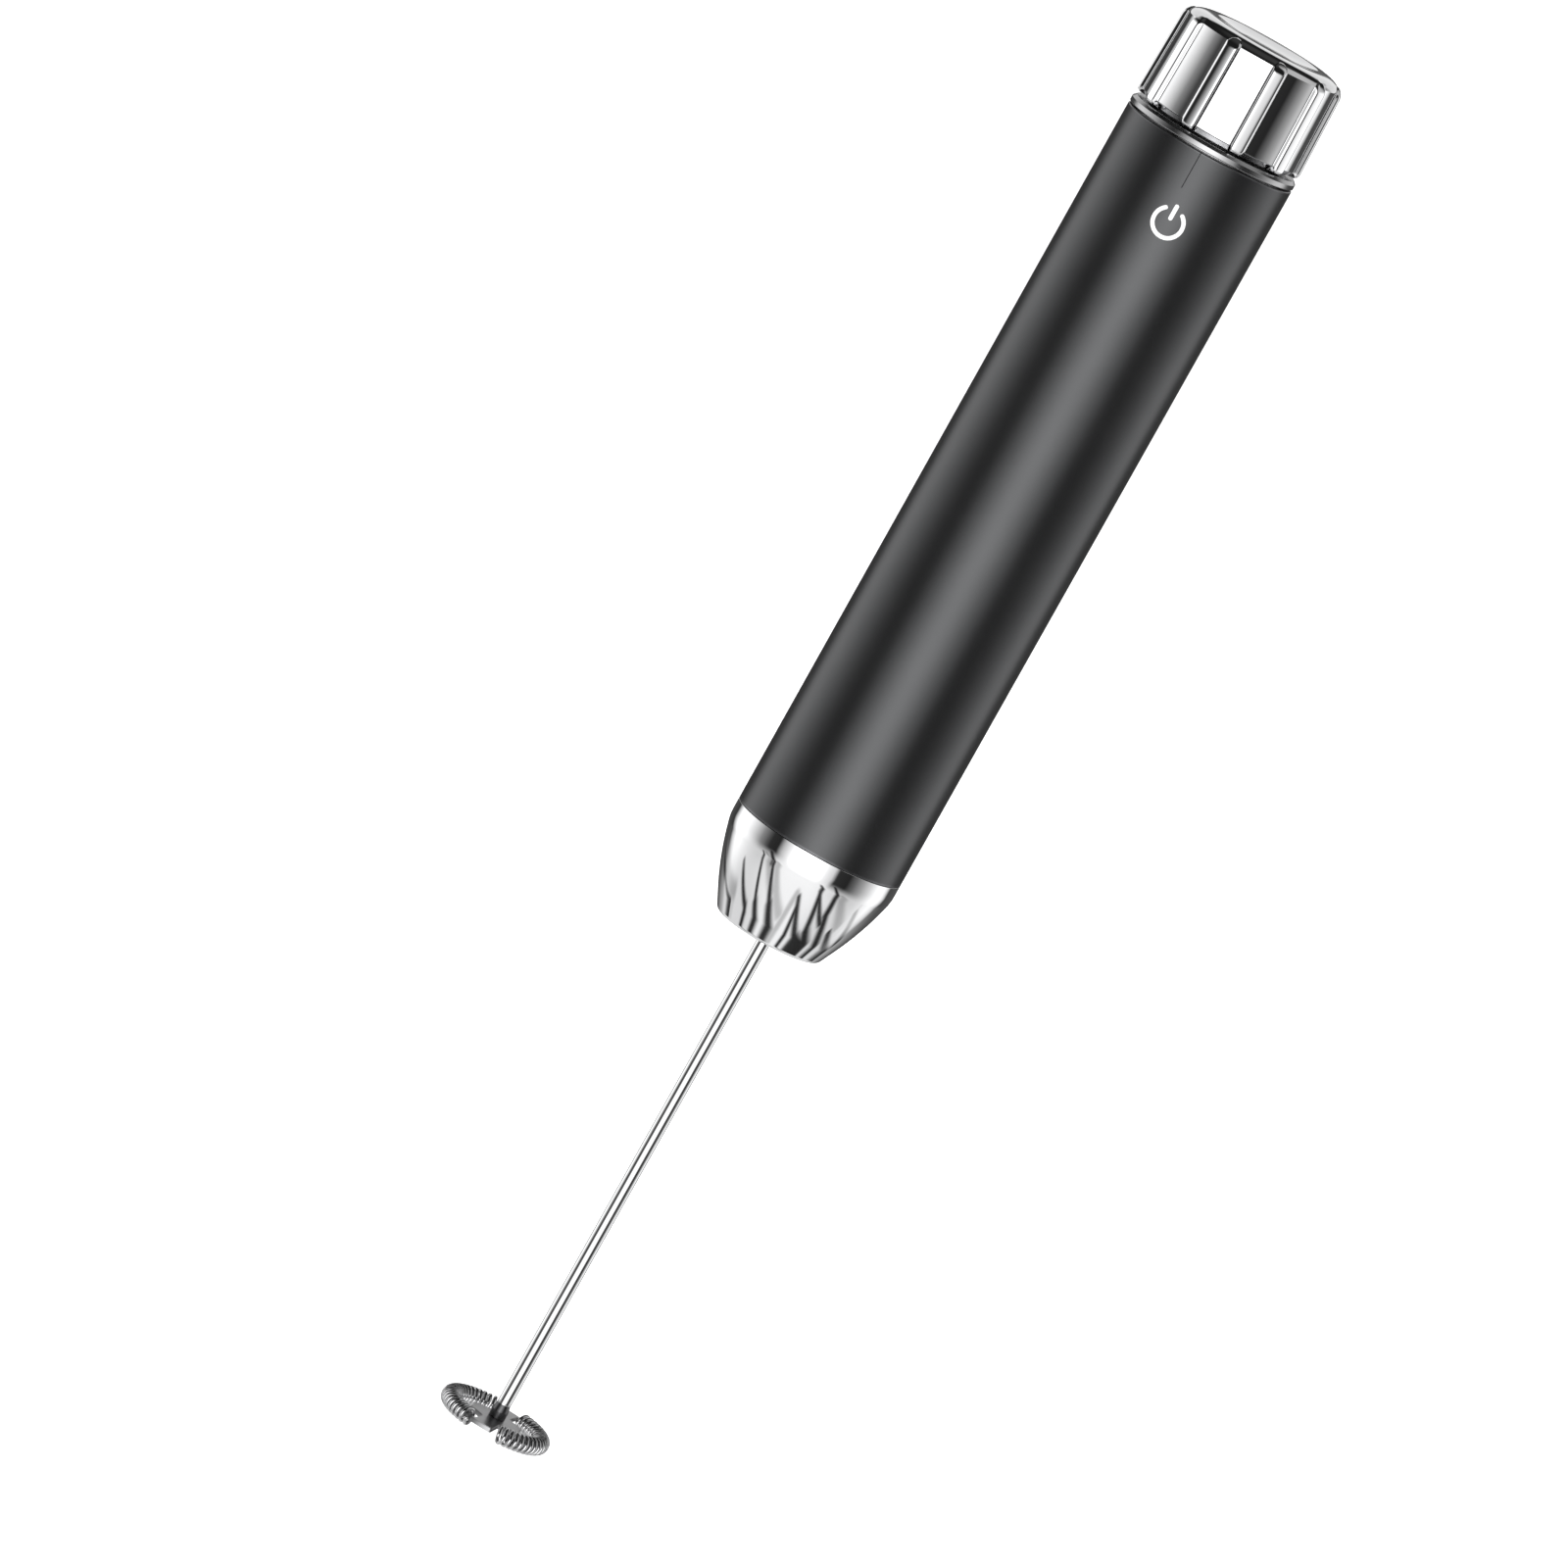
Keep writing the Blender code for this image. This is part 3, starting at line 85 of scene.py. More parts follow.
NOSE_LAND = 3.1 * MM
NOSE_WAIST = (13.25 * MM, -9.9 * MM)       # where the taper's two tangents meet
NOSE_SWELL = 52.0 * MM
NOSE_TIP = 9.42 * MM
NOSE_OPENING = 6.0 * MM

COLLAR_CHAMFER = 0.55 * MM
COLLAR_BORE = 12.4 * MM
NECK_RADIUS = 10.8 * MM

KNOB_FOOT = 14.87 * MM
KNOB_HEAD = 14.5 * MM
KNOB_BORE = 12.05 * MM
KNOB_RIBS = 10
KNOB_FIRST_RIB = -74.3                      # degrees from +X to the first rib
RIB_HEIGHT = 0.75 * MM
RIB_HALF_TOP = 0.7 * MM
RIB_SHOULDER = 0.6 * MM
RIB_STEEPNESS = 66.0
RIB_FOOT = 0.14 * MM
RIB_END = 1.3 * MM                          # length of a rib's rounded end
RIB_ROUNDING = 2.25 * MM                    # how a rib's crest turns in at the top
KNOB_CHAMFER = 1.0 * MM
KNOB_SHOULDER = 1.5 * MM                    # panels stop this far under the top
KNOB_RIM = 12.87 * MM
KNOB_CROWN = 0.5 * MM                       # how far the rim sits under the highest ring
DISH_RADIUS = 9.3 * MM
DISH_FLOOR = 3.6 * MM
DISH_DEPTH = 0.7 * MM

PORT_MIDDLE = (cover_low.z + cover_high.z) / 2
PORT_HEIGHT = 13.0 * MM
PORT_WIDTH = 7.5 * MM

MARK_RADIUS = 2.5 * MM                      # centre line of the power mark's ring
MARK_STROKE = 0.68 * MM
MARK_DROP = 12.5 * MM                       # below the sleeve's top
MARK_PROUD = 0.02 * MM
MARK_OPENING = 37.0                         # degrees each side of the top

RING_RADIUS = 8.4 * MM
RING_Z = (carrier_low.z + carrier_high.z) / 2
COIL_RADIUS = 1.3 * MM
COIL_WIRE = 0.33 * MM
COIL_TURNS = 22
COIL_GAP = 36.0
COIL_GAP_AZIMUTH = 81.5
CARRIER_THICKNESS = carrier_high.z - carrier_low.z


# ---- Shader maths --------------------------------------------------------------------------------

class Signal:
    """One value on its way through a finish; sums of signals become Math nodes."""

    def __init__(self, recipe, socket):
        self.recipe = recipe
        self.socket = socket

    def maths(self, operation, first, second=0.0):
        return self.recipe.node("ShaderNodeMath", {"operation": operation}, {0: first, 1: second})

    def __add__(self, other):
        return self.maths("ADD", self, other)

    __radd__ = __add__

    def __sub__(self, other):
        return self.maths("SUBTRACT", self, other)

    def __rsub__(self, other):
        return self.maths("SUBTRACT", other, self)

    def __mul__(self, other):
        return self.maths("MULTIPLY", self, other)

    __rmul__ = __mul__

    def __truediv__(self, other):
        return self.maths("DIVIDE", self, other)

    def __rtruediv__(self, other):
        return self.maths("DIVIDE", other, self)

    def __pow__(self, power):
        return self.maths("POWER", self, power)

    def __neg__(self):
        return self.maths("MULTIPLY", self, -1.0)

    def __abs__(self):
        return self.maths("ABSOLUTE", self)

    def __mod__(self, other):
        return self.maths("FLOORED_MODULO", self, other)


class Recipe:
    """The node tree of a finish, or of the studio's surroundings."""

    def __init__(self, tree):
        self.tree = tree
        tree.nodes.clear()

    def feed(self, socket, value):
        if isinstance(value, Signal):
            self.tree.links.new(value.socket, socket)
        else:
            socket.default_value = value

    def node(self, kind, settings, sockets, output=0):
        made = self.tree.nodes.new(kind)
        for key, value in settings.items():
            if key == "stops":
                self.set_stops(made.color_ramp, value)
            else:
                setattr(made, key, value)
        for key, value in sockets.items():
            self.feed(made.inputs[key], value)
        return Signal(self, made.outputs[output])

    def set_stops(self, ramp, stops):
        while len(ramp.elements) < len(stops):
            ramp.elements.new(1.0)
        for element, (place, value) in zip(ramp.elements, stops):
            element.position = place
        for element, (place, value) in zip(ramp.elements, stops):
            element.color = (value, value, value, 1.0)

    def place(self):
        """Where a point lies in the row frame, in metres."""
        return self.node("ShaderNodeTexCoord", {}, {}, "Object")

    def axes(self, vector):
        split = self.tree.nodes.new("ShaderNodeSeparateXYZ")
        self.feed(split.inputs[0], vector)
        return [Signal(self, output) for output in split.outputs]

    def vector(self, operation, first, second=(0.0, 0.0, 0.0), output=0):
        return self.node("ShaderNodeVectorMath", {"operation": operation}, {0: first, 1: second}, output)

    def smooth(self, value, low, high, start=0.0, end=1.0):
        """From start to end as the value goes from low to high, easing in and out."""
        settings = {"interpolation_type": "SMOOTHSTEP"}
        return self.node("ShaderNodeMapRange", settings, {0: value, 1: low, 2: high, 3: start, 4: end})

    def noise(self, scale, detail=3.0, stretch=(1.0, 1.0, 1.0), roughness=0.5):
        """Cloudy noise from 0 to 1, with scale in patches to the metre."""
        spot = self.vector("MULTIPLY", self.place(), stretch)
        sockets = {"Vector": spot, "Scale": scale, "Detail": detail, "Roughness": roughness}
        return self.node("ShaderNodeTexNoise", {"noise_dimensions": "3D"}, sockets)

    def specks(self, scale):
        """Small cells, from 0 at a cell's middle."""
        sockets = {"Vector": self.place(), "Scale": scale}
        return self.node("ShaderNodeTexVoronoi", {"feature": "F1"}, sockets)

    def blend(self, share, first, second):
        """A colour between two colours."""
        settings = {"data_type": "RGBA"}
        return self.node("ShaderNodeMix", settings, {0: share, 6: rgba(first), 7: rgba(second)}, 2)


def rgba(colour):
    return colour if isinstance(colour, Signal) else (*colour, 1.0)


class Finish(Recipe):
    """A surface finish: a Principled shader whose constant numbers stand on its own sockets."""

    def __init__(self, name, **numbers):
        self.material = bpy.data.materials.new(name)
        self.material.use_nodes = True
        super().__init__(self.material.node_tree)
        self.shader = self.tree.nodes.new("ShaderNodeBsdfPrincipled")
        output = self.tree.nodes.new("ShaderNodeOutputMaterial")
        self.tree.links.new(self.shader.outputs[0], output.inputs[0])
        for key, value in numbers.items():
            self.shader.inputs[key.replace("_", " ").title().replace("Ior", "IOR")].default_value = value

    def colour(self, value):
        self.feed(self.shader.inputs["Base Color"], value)

    def roughness(self, value):
        self.feed(self.shader.inputs["Roughness"], value)

    def relief(self, height, depth, strength=1.0):
        """Bumps of this depth in metres, from a height between 0 and 1."""
        sockets = {"Strength": strength, "Distance": depth, "Height": height}
        bump = self.node("ShaderNodeBump", {}, sockets)
        self.feed(self.shader.inputs["Normal"], bump)


# ---- Finishes ------------------------------------------------------------------------------------

def chrome_finish(name, polish, light=(0.90, 0.90, 0.905), shade=(0.82, 0.825, 0.835)):
    """Bright plating with handling haze and hair-fine polishing lines along the piece."""
    made = Finish(name, metallic=1.0)
    haze = made.noise(120.0, 4.0)
    lines = made.noise(900.0, 2.0, (1.0, 1.0, 0.04))
    made.colour(made.blend(haze, light, shade))
    made.roughness(polish + haze * haze * 0.035 + lines * 0.02)
    made.relief(lines, 0.0006 * MM, 0.25)
    return made.material


def satin_black_finish():
    """Bead-blasted black anodising: a fine grain, faint clouding, and edges rubbed a little brighter."""
    made = Finish("satin_black", metallic=0.92)
    grain = made.noise(9000.0, 2.0)
    cloud = made.noise(60.0, 4.0)
    height = made.axes(made.place())[2]
    top = made.smooth(height, sleeve_high.z - 0.5 * MM, sleeve_high.z)
    foot = made.smooth(height, sleeve_low.z + 0.4 * MM, sleeve_low.z)
    rubbed = (top + foot) * made.noise(700.0, 3.0)
    plain = made.blend(cloud, (0.072, 0.073, 0.075), (0.085, 0.086, 0.088))
    made.colour(made.blend(rubbed, plain, (0.20, 0.20, 0.21)))
    made.roughness(0.27 + cloud * 0.03 + grain * 0.03)
    made.relief(grain, 0.004 * MM, 0.35)
    return made.material


def steel_wire_finish(name, polish, light, shade, pull):
    """Drawn stainless steel, with fine marks along the draw."""
    made = Finish(name, metallic=1.0)
    marks = made.noise(2600.0, 3.0, pull)
    haze = made.noise(260.0, 3.0)
    made.colour(made.blend(haze, light, shade))
    made.roughness(polish + marks * 0.05 + haze * 0.03)
    made.relief(marks, 0.002 * MM, 0.3)
    return made.material


def moulded_finish(name, dark, light, sheen, grain_depth=0.006):
    """Moulded plastic: a faint flow pattern and a spark-eroded grain."""
    made = Finish(name, metallic=0.0, ior=1.5)
    flow = made.noise(150.0, 4.0, (1.0, 1.0, 0.4))
    grain = made.noise(6000.0, 2.0)
    made.colour(made.blend(flow, dark, light))
    made.roughness(sheen + flow * 0.08 + grain * 0.06)
    made.relief(grain, grain_depth * MM, 0.4)
    return made.material


def rubber_finish():
    """Soft silicone with dust caught in its matt skin."""
    made = Finish("soft_rubber", metallic=0.0, ior=1.42, sheen_weight=0.15)
    dust = made.smooth(made.noise(3000.0, 3.0), 0.62, 0.75)
    cloud = made.noise(200.0, 3.0)
    plain = made.blend(cloud, (0.016, 0.016, 0.017), (0.026, 0.026, 0.028))
    made.colour(made.blend(dust * 0.4, plain, (0.09, 0.09, 0.09)))
    made.roughness(0.62 + cloud * 0.16)
    made.relief(made.noise(5000.0, 2.0), 0.01 * MM, 0.5)
    return made.material


def plated_finish():
    """Zinc-plated sheet steel with rolling marks and a slight spangle."""
    made = Finish("zinc_plate", metallic=1.0)
    spangle = made.specks(900.0)
    rolled = made.noise(1500.0, 3.0, (1.0, 1.0, 0.06))
    made.colour(made.blend(spangle, (0.58, 0.59, 0.61), (0.47, 0.48, 0.50)))
    made.roughness(0.24 + rolled * 0.14)
    made.relief(rolled, 0.003 * MM, 0.4)
    return made.material


def magnet_finish():
    """Sintered ferrite: near-black, matt, with pressed grain and small chips."""
    made = Finish("ferrite", metallic=0.1)
    grain = made.specks(5200.0)
    cloud = made.noise(500.0, 4.0)
    made.colour(made.blend(cloud, (0.045, 0.045, 0.047), (0.085, 0.083, 0.082)))
    made.roughness(0.5 + cloud * 0.2)
    made.relief(grain, 0.02 * MM, 0.5)
    return made.material


def core_finish():
    """A stack of stamped steel sheets, each half a millimetre thick."""
    made = Finish("laminated_core", metallic=1.0)
    height = made.axes(made.place())[2]
    sheet = abs(height / (0.5 * MM) % 1.0 - 0.5) * 2.0
    seam = made.smooth(sheet, 0.82, 0.98)
    stain = made.noise(900.0, 4.0)
    plain = made.blend(stain, (0.34, 0.34, 0.35), (0.22, 0.21, 0.21))
    made.colour(made.blend(seam, plain, (0.03, 0.028, 0.026)))
    made.roughness(0.36 + stain * 0.2)
    made.relief(1.0 - seam, 0.05 * MM, 0.6)
    return made.material


def copper_finish():
    """Enamelled magnet wire laid side by side, 0.35 mm thick, with painted shade darkening the valleys between the
    wires.
    """
    made = Finish("enamelled_copper", metallic=1.0, coat_weight=0.5, coat_roughness=0.1)
    height = made.axes(made.place())[2]
    across = abs(height / (0.35 * MM) % 1.0 - 0.5) * 2.0
    gap = made.smooth(across, 0.7, 1.0)
    tone = made.noise(1800.0, 3.0, (1.0, 1.0, 4.0))
    plain = made.blend(tone, (0.70, 0.27, 0.10), (0.52, 0.17, 0.06))
    # painted shade: the valleys between the wires are coloured dark
    made.colour(made.blend(gap, plain, (0.10, 0.03, 0.015)))
    made.roughness(0.28 + tone * 0.1)
    made.relief(1.0 - gap, 0.12 * MM, 0.8)
    return made.material


def bronze_finish():
    """Sintered bronze, with pores that hold the oil; their dark colour is partly the oil and partly painted shade in
    the holes.
    """
    made = Finish("oiled_bronze", metallic=1.0)
    pores = made.smooth(made.specks(6500.0), 0.15, 0.4)
    tone = made.noise(700.0, 3.0)
    plain = made.blend(tone, (0.56, 0.36, 0.17), (0.44, 0.27, 0.12))
    # dark pores: oil held in them, plus painted shade in the holes
    made.colour(made.blend(pores, (0.12, 0.07, 0.03), plain))
    made.roughness(0.32 + tone * 0.14)
    made.relief(pores, 0.02 * MM, 0.5)
    return made.material


def cell_finish():
    """Shrink sleeve over the cell: plain blue with a pale band at the positive end and fine shrink lines."""
    made = Finish("cell_sleeve", metallic=0.0, coat_weight=0.35, coat_roughness=0.18)
    cell_low, cell_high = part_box("battery_cell")
    height = made.axes(made.place())[2]
    band = made.smooth(height, cell_high.z - 7.2 * MM, cell_high.z - 7.0 * MM)
    wrinkle = made.noise(420.0, 4.0, (1.0, 1.0, 0.15))
    blue = made.blend(wrinkle, (0.03, 0.16, 0.34), (0.05, 0.23, 0.44))
    made.colour(made.blend(band, blue, (0.55, 0.57, 0.58)))
    made.roughness(0.3 + wrinkle * 0.15)
    made.relief(wrinkle, 0.02 * MM, 0.4)
    return made.material


def nickel_finish():
    """Spring nickel strip, brushed along its length, with spot-weld blushes."""
    made = Finish("nickel_strip", metallic=1.0)
    brushed = made.noise(2200.0, 3.0, (0.06, 1.0, 1.0))
    blush = made.smooth(made.specks(420.0), 0.12, 0.3)
    made.colour(made.blend(blush, (0.42, 0.36, 0.30), (0.68, 0.66, 0.61)))
    made.roughness(0.22 + brushed * 0.16)
    made.relief(brushed, 0.002 * MM, 0.4)
    return made.material


def board_finish():
    """Green solder mask over copper tracks, with tinned pads and plated holes."""
    made = Finish("solder_mask", metallic=0.0, coat_weight=0.6, coat_roughness=0.12)
    x, y, z = made.axes(made.place())
    lane = abs(x / (1.3 * MM) % 1.0 - 0.5) * 2.0
    track = made.smooth(lane, 0.62, 0.68) * made.smooth(made.noise(260.0, 0.0, (1.0, 1.0, 0.35)), 0.46, 0.48)
    pad_across = abs(x / (2.54 * MM) % 1.0 - 0.5) * 2.0
    pad_along = abs(z / (5.08 * MM) % 1.0 - 0.5) * 2.0
    pad = made.smooth(pad_across, 0.66, 0.70) * made.smooth(pad_along, 0.80, 0.83)
    weave = made.noise(2400.0, 2.0)
    mask = made.blend(weave, (0.012, 0.13, 0.055), (0.018, 0.17, 0.075))
    tracked = made.blend(track, mask, (0.035, 0.28, 0.11))
    made.colour(made.blend(pad, tracked, (0.62, 0.61, 0.58)))
    made.roughness(0.42 - pad * 0.14 + weave * 0.06)
    made.relief(track + pad, 0.03 * MM, 0.6)
    return made.material


def chip_finish():
    """Moulded epoxy package with a pin-one dimple and a frosted top."""
    made = Finish("chip_epoxy", metallic=0.0)
    chip_low, chip_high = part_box("charge_chip")
    corner = Vector((chip_low.x + 0.9 * MM, chip_high.y, chip_high.z - 0.9 * MM))
    reach = made.vector("DISTANCE", made.place(), tuple(corner), "Value")
    dimple = made.smooth(reach, 0.35 * MM, 0.42 * MM)
    frost = made.noise(4200.0, 3.0)
    plain = made.blend(frost, (0.018, 0.018, 0.019), (0.034, 0.034, 0.035))
    made.colour(made.blend(dimple, (0.06, 0.06, 0.06), plain))
    made.roughness(0.5 + frost * 0.2)
    made.relief(dimple + frost * 0.2, 0.04 * MM, 0.5)
    return made.material


def lead_finish(name, dark, light):
    """Extruded insulation, slightly waxy, with faint die lines."""
    made = Finish(name, metallic=0.0)
    lines = made.noise(3000.0, 2.0, (1.0, 1.0, 0.03))
    made.colour(made.blend(lines, dark, light))
    made.roughness(0.38 + lines * 0.16)
    made.relief(lines, 0.006 * MM, 0.4)
    return made.material


def ink_finish():
    """White pad-printed ink with a slightly uneven film."""
    made = Finish("white_ink", metallic=0.0)
    film = made.noise(2500.0, 3.0)
    made.colour(made.blend(film, (0.88, 0.88, 0.88), (0.97, 0.97, 0.97)))
    made.roughness(0.42 + film * 0.14)
    made.relief(film, 0.004 * MM, 0.4)
    return made.material


def groove_finish():
    """The shadowed floor of a scribed line."""
    made = Finish("scribed_line", metallic=0.6)
    dirt = made.noise(4000.0, 2.0)
    made.colour(made.blend(dirt, (0.008, 0.008, 0.009), (0.022, 0.022, 0.024)))
    made.roughness(0.5 + dirt * 0.2)
    made.relief(dirt, 0.004 * MM, 0.4)
    return made.material


def make_finishes():
    return {
        "chrome": chrome_finish("bright_chrome", 0.035),
        "satin_chrome": chrome_finish("satin_chrome", 0.20, (0.46, 0.46, 0.465), (0.38, 0.38, 0.385)),
        "satin_black": satin_black_finish(),
        "rod": steel_wire_finish("polished_rod", 0.07, (0.86, 0.86, 0.865), (0.74, 0.745, 0.75), (1, 1, 0.03)),
        "coil": steel_wire_finish("drawn_wire", 0.10, (0.74, 0.74, 0.745), (0.56, 0.56, 0.57), (1, 1, 1)),
        "sheet": steel_wire_finish("brushed_sheet", 0.30, (0.42, 0.42, 0.425), (0.33, 0.33, 0.335), (0.1, 1, 1)),
        "weld": steel_wire_finish("braze_fillet", 0.25, (0.16, 0.16, 0.165), (0.07, 0.07, 0.072), (1, 1, 1)),
        "black": moulded_finish("black_moulding", (0.012, 0.012, 0.013), (0.022, 0.022, 0.024), 0.26),
        "grey": moulded_finish("grey_moulding", (0.25, 0.26, 0.27), (0.33, 0.34, 0.35), 0.40),
        "rubber": rubber_finish(),
        "plated": plated_finish(),
        "magnet": magnet_finish(),
        "core": core_finish(),
        "copper": copper_finish(),
        "bronze": bronze_finish(),
        "cell": cell_finish(),
        "nickel": nickel_finish(),
        "board": board_finish(),
        "chip": chip_finish(),
        "red": lead_finish("red_insulation", (0.38, 0.015, 0.015), (0.52, 0.03, 0.025)),
        "blackwire": lead_finish("black_insulation", (0.014, 0.014, 0.015), (0.03, 0.03, 0.032)),
        "ink": ink_finish(),
        "groove": groove_finish(),
    }


# ---- Building pieces -----------------------------------------------------------------------------

def piece(name, mesh, finish, body, slot, *nodes):
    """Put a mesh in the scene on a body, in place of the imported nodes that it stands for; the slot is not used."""
    made = bpy.data.objects.new(name, mesh)
    bpy.context.scene.collection.objects.link(made)
    mesh.materials.append(finish)
    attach(made, body)
    if nodes:
        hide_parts(*nodes)
    return made


def turned_vector(vector, angle):
    """A flat vector turned anticlockwise by an angle in radians."""
    return Vector((
        vector.x * math.cos(angle) - vector.y * math.sin(angle),
        vector.x * math.sin(angle) + vector.y * math.cos(angle),
    ))


def rounded(corners, steps=8):
    """A closed outline, as points that know which way the surface faces before and after them.

    Each corner is (radius, height, rounding), and the corners run anticlockwise.
    """
    outline = []
    for index, (radius, height, rounding) in enumerate(corners):
        here = Vector((radius, height))
        after = corners[(index + 1) % len(corners)]
        inward = (here - Vector(corners[index - 1][:2])).normalized()
        onward = (Vector(after[:2]) - here).normalized()
        facing = Vector((inward.y, -inward.x))
        leaving = Vector((onward.y, -onward.x))
        if not rounding:
            outline.append((here, facing, leaving))
            continue
        turn = inward.angle_signed(onward)
        side = -1.0 if turn > 0 else 1.0
        reach = rounding * math.tan(abs(turn) / 2)
        centre = here - inward * reach - facing * rounding * side
        for step in range(steps + 1):
            now = turned_vector(facing, -turn * step / steps)
            outline.append((centre + now * rounding * side, now, now))
    return outline


def spun(outline, steps=256):
    """Turn an outline round Z into a mesh with true facings, so that wide flats stay flat beside fine edges."""
    count = len(outline)
    verts = []
    turns = [math.tau * step / steps for step in range(steps)]
    for point, facing, leaving in outline:
        for turn in turns:
            verts.append((point.x * math.cos(turn), point.x * math.sin(turn), point.y))
    faces = []
    facings = []
    for index in range(count):
        after = (index + 1) % count
        low, high = outline[index], outline[after]
        if low[0].x < 1e-7 and high[0].x < 1e-7:
            continue
        for step in range(steps):
            beyond = (step + 1) % steps
            ring = [
                (index, step, low[2]), (index, beyond, low[2]),
                (after, beyond, high[1]), (after, step, high[1]),
            ]
            if low[0].x < 1e-7:
                ring = [(index, 0, low[2]), ring[2], ring[3]]
            elif high[0].x < 1e-7:
                ring = [ring[0], ring[1], (after, 0, high[1])]
            faces.append([loop * steps + spot for loop, spot, flat in ring])
            for loop, spot, flat in ring:
                turn = turns[spot]
                facings.append((flat.x * math.cos(turn), flat.x * math.sin(turn), flat.y))
    mesh = bpy.data.meshes.new("spun")
    mesh.from_pydata(verts, [], faces)
    mesh.shade_smooth()
    mesh.normals_split_custom_set(facings)
    mesh.validate()
    return mesh


def lattice(rows, closed_rows=False, closed_columns=True, sharp=32.0, caps=()):
    """A mesh through a grid of points, smooth apart from its sharp creases."""
    bm = bmesh.new()
    grid = [[bm.verts.new(point) for point in row] for row in rows]
    row_count, column_count = len(grid), len(grid[0])
    for index in range(row_count if closed_rows else row_count - 1):
        here, there = grid[index], grid[(index + 1) % row_count]
        for column in range(column_count if closed_columns else column_count - 1):
            beside = (column + 1) % column_count
            bm.faces.new((here[column], here[beside], there[beside], there[column]))
    for cap in caps:
        bm.faces.new(grid[cap])
    bmesh.ops.remove_doubles(bm, verts=bm.verts, dist=1e-7)
    bmesh.ops.recalc_face_normals(bm, faces=bm.faces)
    return smooth_mesh(bm, sharp)


def smooth_mesh(bm, sharp=32.0):
    mesh = bpy.data.meshes.new("fine")
    bm.to_mesh(mesh)
    bm.free()
    mesh.shade_smooth()
    mesh.set_sharp_from_angle(angle=math.radians(sharp))
    return mesh


def tube(points, radius, sides=12):
    """A round wire along a path, with domed ends."""
    path = [Vector(point) for point in points]
    heading = (path[1] - path[0]).normalized()
    across = heading.orthogonal().normalized()
    rings = []

    def ring(centre, heading, across, size):
        up = heading.cross(across)
        return [
            centre + (across * math.cos(math.tau * side / sides) + up * math.sin(math.tau * side / sides)) * size
            for side in range(sides)
        ]

    for index, point in enumerate(path):
        before = path[max(index - 1, 0)]
        after = path[min(index + 1, len(path) - 1)]
        heading = (after - before).normalized()
        across = (across - heading * across.dot(heading)).normalized()
        if index == 0:
            for share in (0.0, 0.35, 0.7):
                size = radius * max(0.02, math.sin(share * math.pi / 2))
                rings.append(ring(point - heading * radius * (1 - share) * 0.6, heading, across, size))
        rings.append(ring(point, heading, across, radius))
        if index == len(path) - 1:
            for share in (0.7, 0.35, 0.0):
                size = radius * max(0.02, math.sin(share * math.pi / 2))
                rings.append(ring(point + heading * radius * (1 - share) * 0.6, heading, across, size))
    return lattice(rings, caps=(0, -1), sharp=60.0)


def slot_points(height, width, steps=24):
    """A slot with round ends as (across, up) points, anticlockwise from its right-hand side."""
    points = []
    for end in (1, -1):
        for step in range(steps + 1):
            turn = math.pi * step / steps + (0 if end > 0 else math.pi)
            middle = end * (height - width) / 2
            points.append((width / 2 * math.cos(turn), middle + width / 2 * math.sin(turn)))
    return points


def joined(*meshes):
    """Several meshes as one."""
    bm = bmesh.new()
    for mesh in meshes:
        bm.from_mesh(mesh)
        bpy.data.meshes.remove(mesh)
    return smooth_mesh(bm)


# ---- Handle --------------------------------------------------------------------------------------

def make_sleeve(finishes):
    """Sleeve tube with broken edges and the charging port cut through its rear."""
    low, high = sleeve_low.z - 0.1 * MM, sleeve_high.z
    outline = rounded([
        (SLEEVE_BORE, low, 0.1 * MM),
        (BODY_RADIUS, low, 0.08 * MM),
        (BODY_RADIUS, high, EDGE),
        (SLEEVE_BORE, high, 0.1 * MM),
    ], 6)
    tube_mesh = spun(outline)
    sleeve = piece("sleeve_skin", tube_mesh, finishes["satin_black"], "handle", "black_anodised", "body_sleeve")
    slot = slot_points(PORT_HEIGHT, PORT_WIDTH)
    rows = [[(x, y, PORT_MIDDLE + z) for x, z in slot] for y in (BODY_RADIUS / 2, BODY_RADIUS * 1.5)]
    cutter = bpy.data.objects.new("port_tool", lattice(rows, caps=(0, -1)))
    bpy.context.scene.collection.objects.link(cutter)
    modifier = sleeve.modifiers.new("port", "BOOLEAN")
    modifier.object = cutter
    modifier.solver = "EXACT"
    solid = sleeve.evaluated_get(bpy.context.evaluated_depsgraph_get())
    mesh = bpy.data.meshes.new_from_object(solid)
    sleeve.modifiers.clear()
    bpy.data.objects.remove(cutter)
    true_facings(mesh)
    sleeve.data = mesh
    return sleeve


def true_facings(mesh):
    """Give the sleeve's walls their round facings again after the port is cut."""
    mesh.shade_smooth()
    facings = []
    for face in mesh.polygons:
        middle = face.center
        level = Vector((middle.x, middle.y, 0.0)).normalized()
        along = face.normal.dot(level)
        for index in face.vertices:
            point = mesh.vertices[index].co
            out = Vector((point.x, point.y, 0.0)).normalized()
            if abs(face.normal.z) < 0.02 and abs(along) > 0.995:
                facings.append(out if along > 0 else -out)
            elif abs(face.normal.z) > 0.02:
                tilt = math.hypot(face.normal.x, face.normal.y)
                facings.append(Vector((out.x * math.copysign(tilt, along), out.y * math.copysign(tilt, along), face.normal.z)))
            else:
                facings.append(face.normal.copy())
    mesh.normals_split_custom_set(facings)


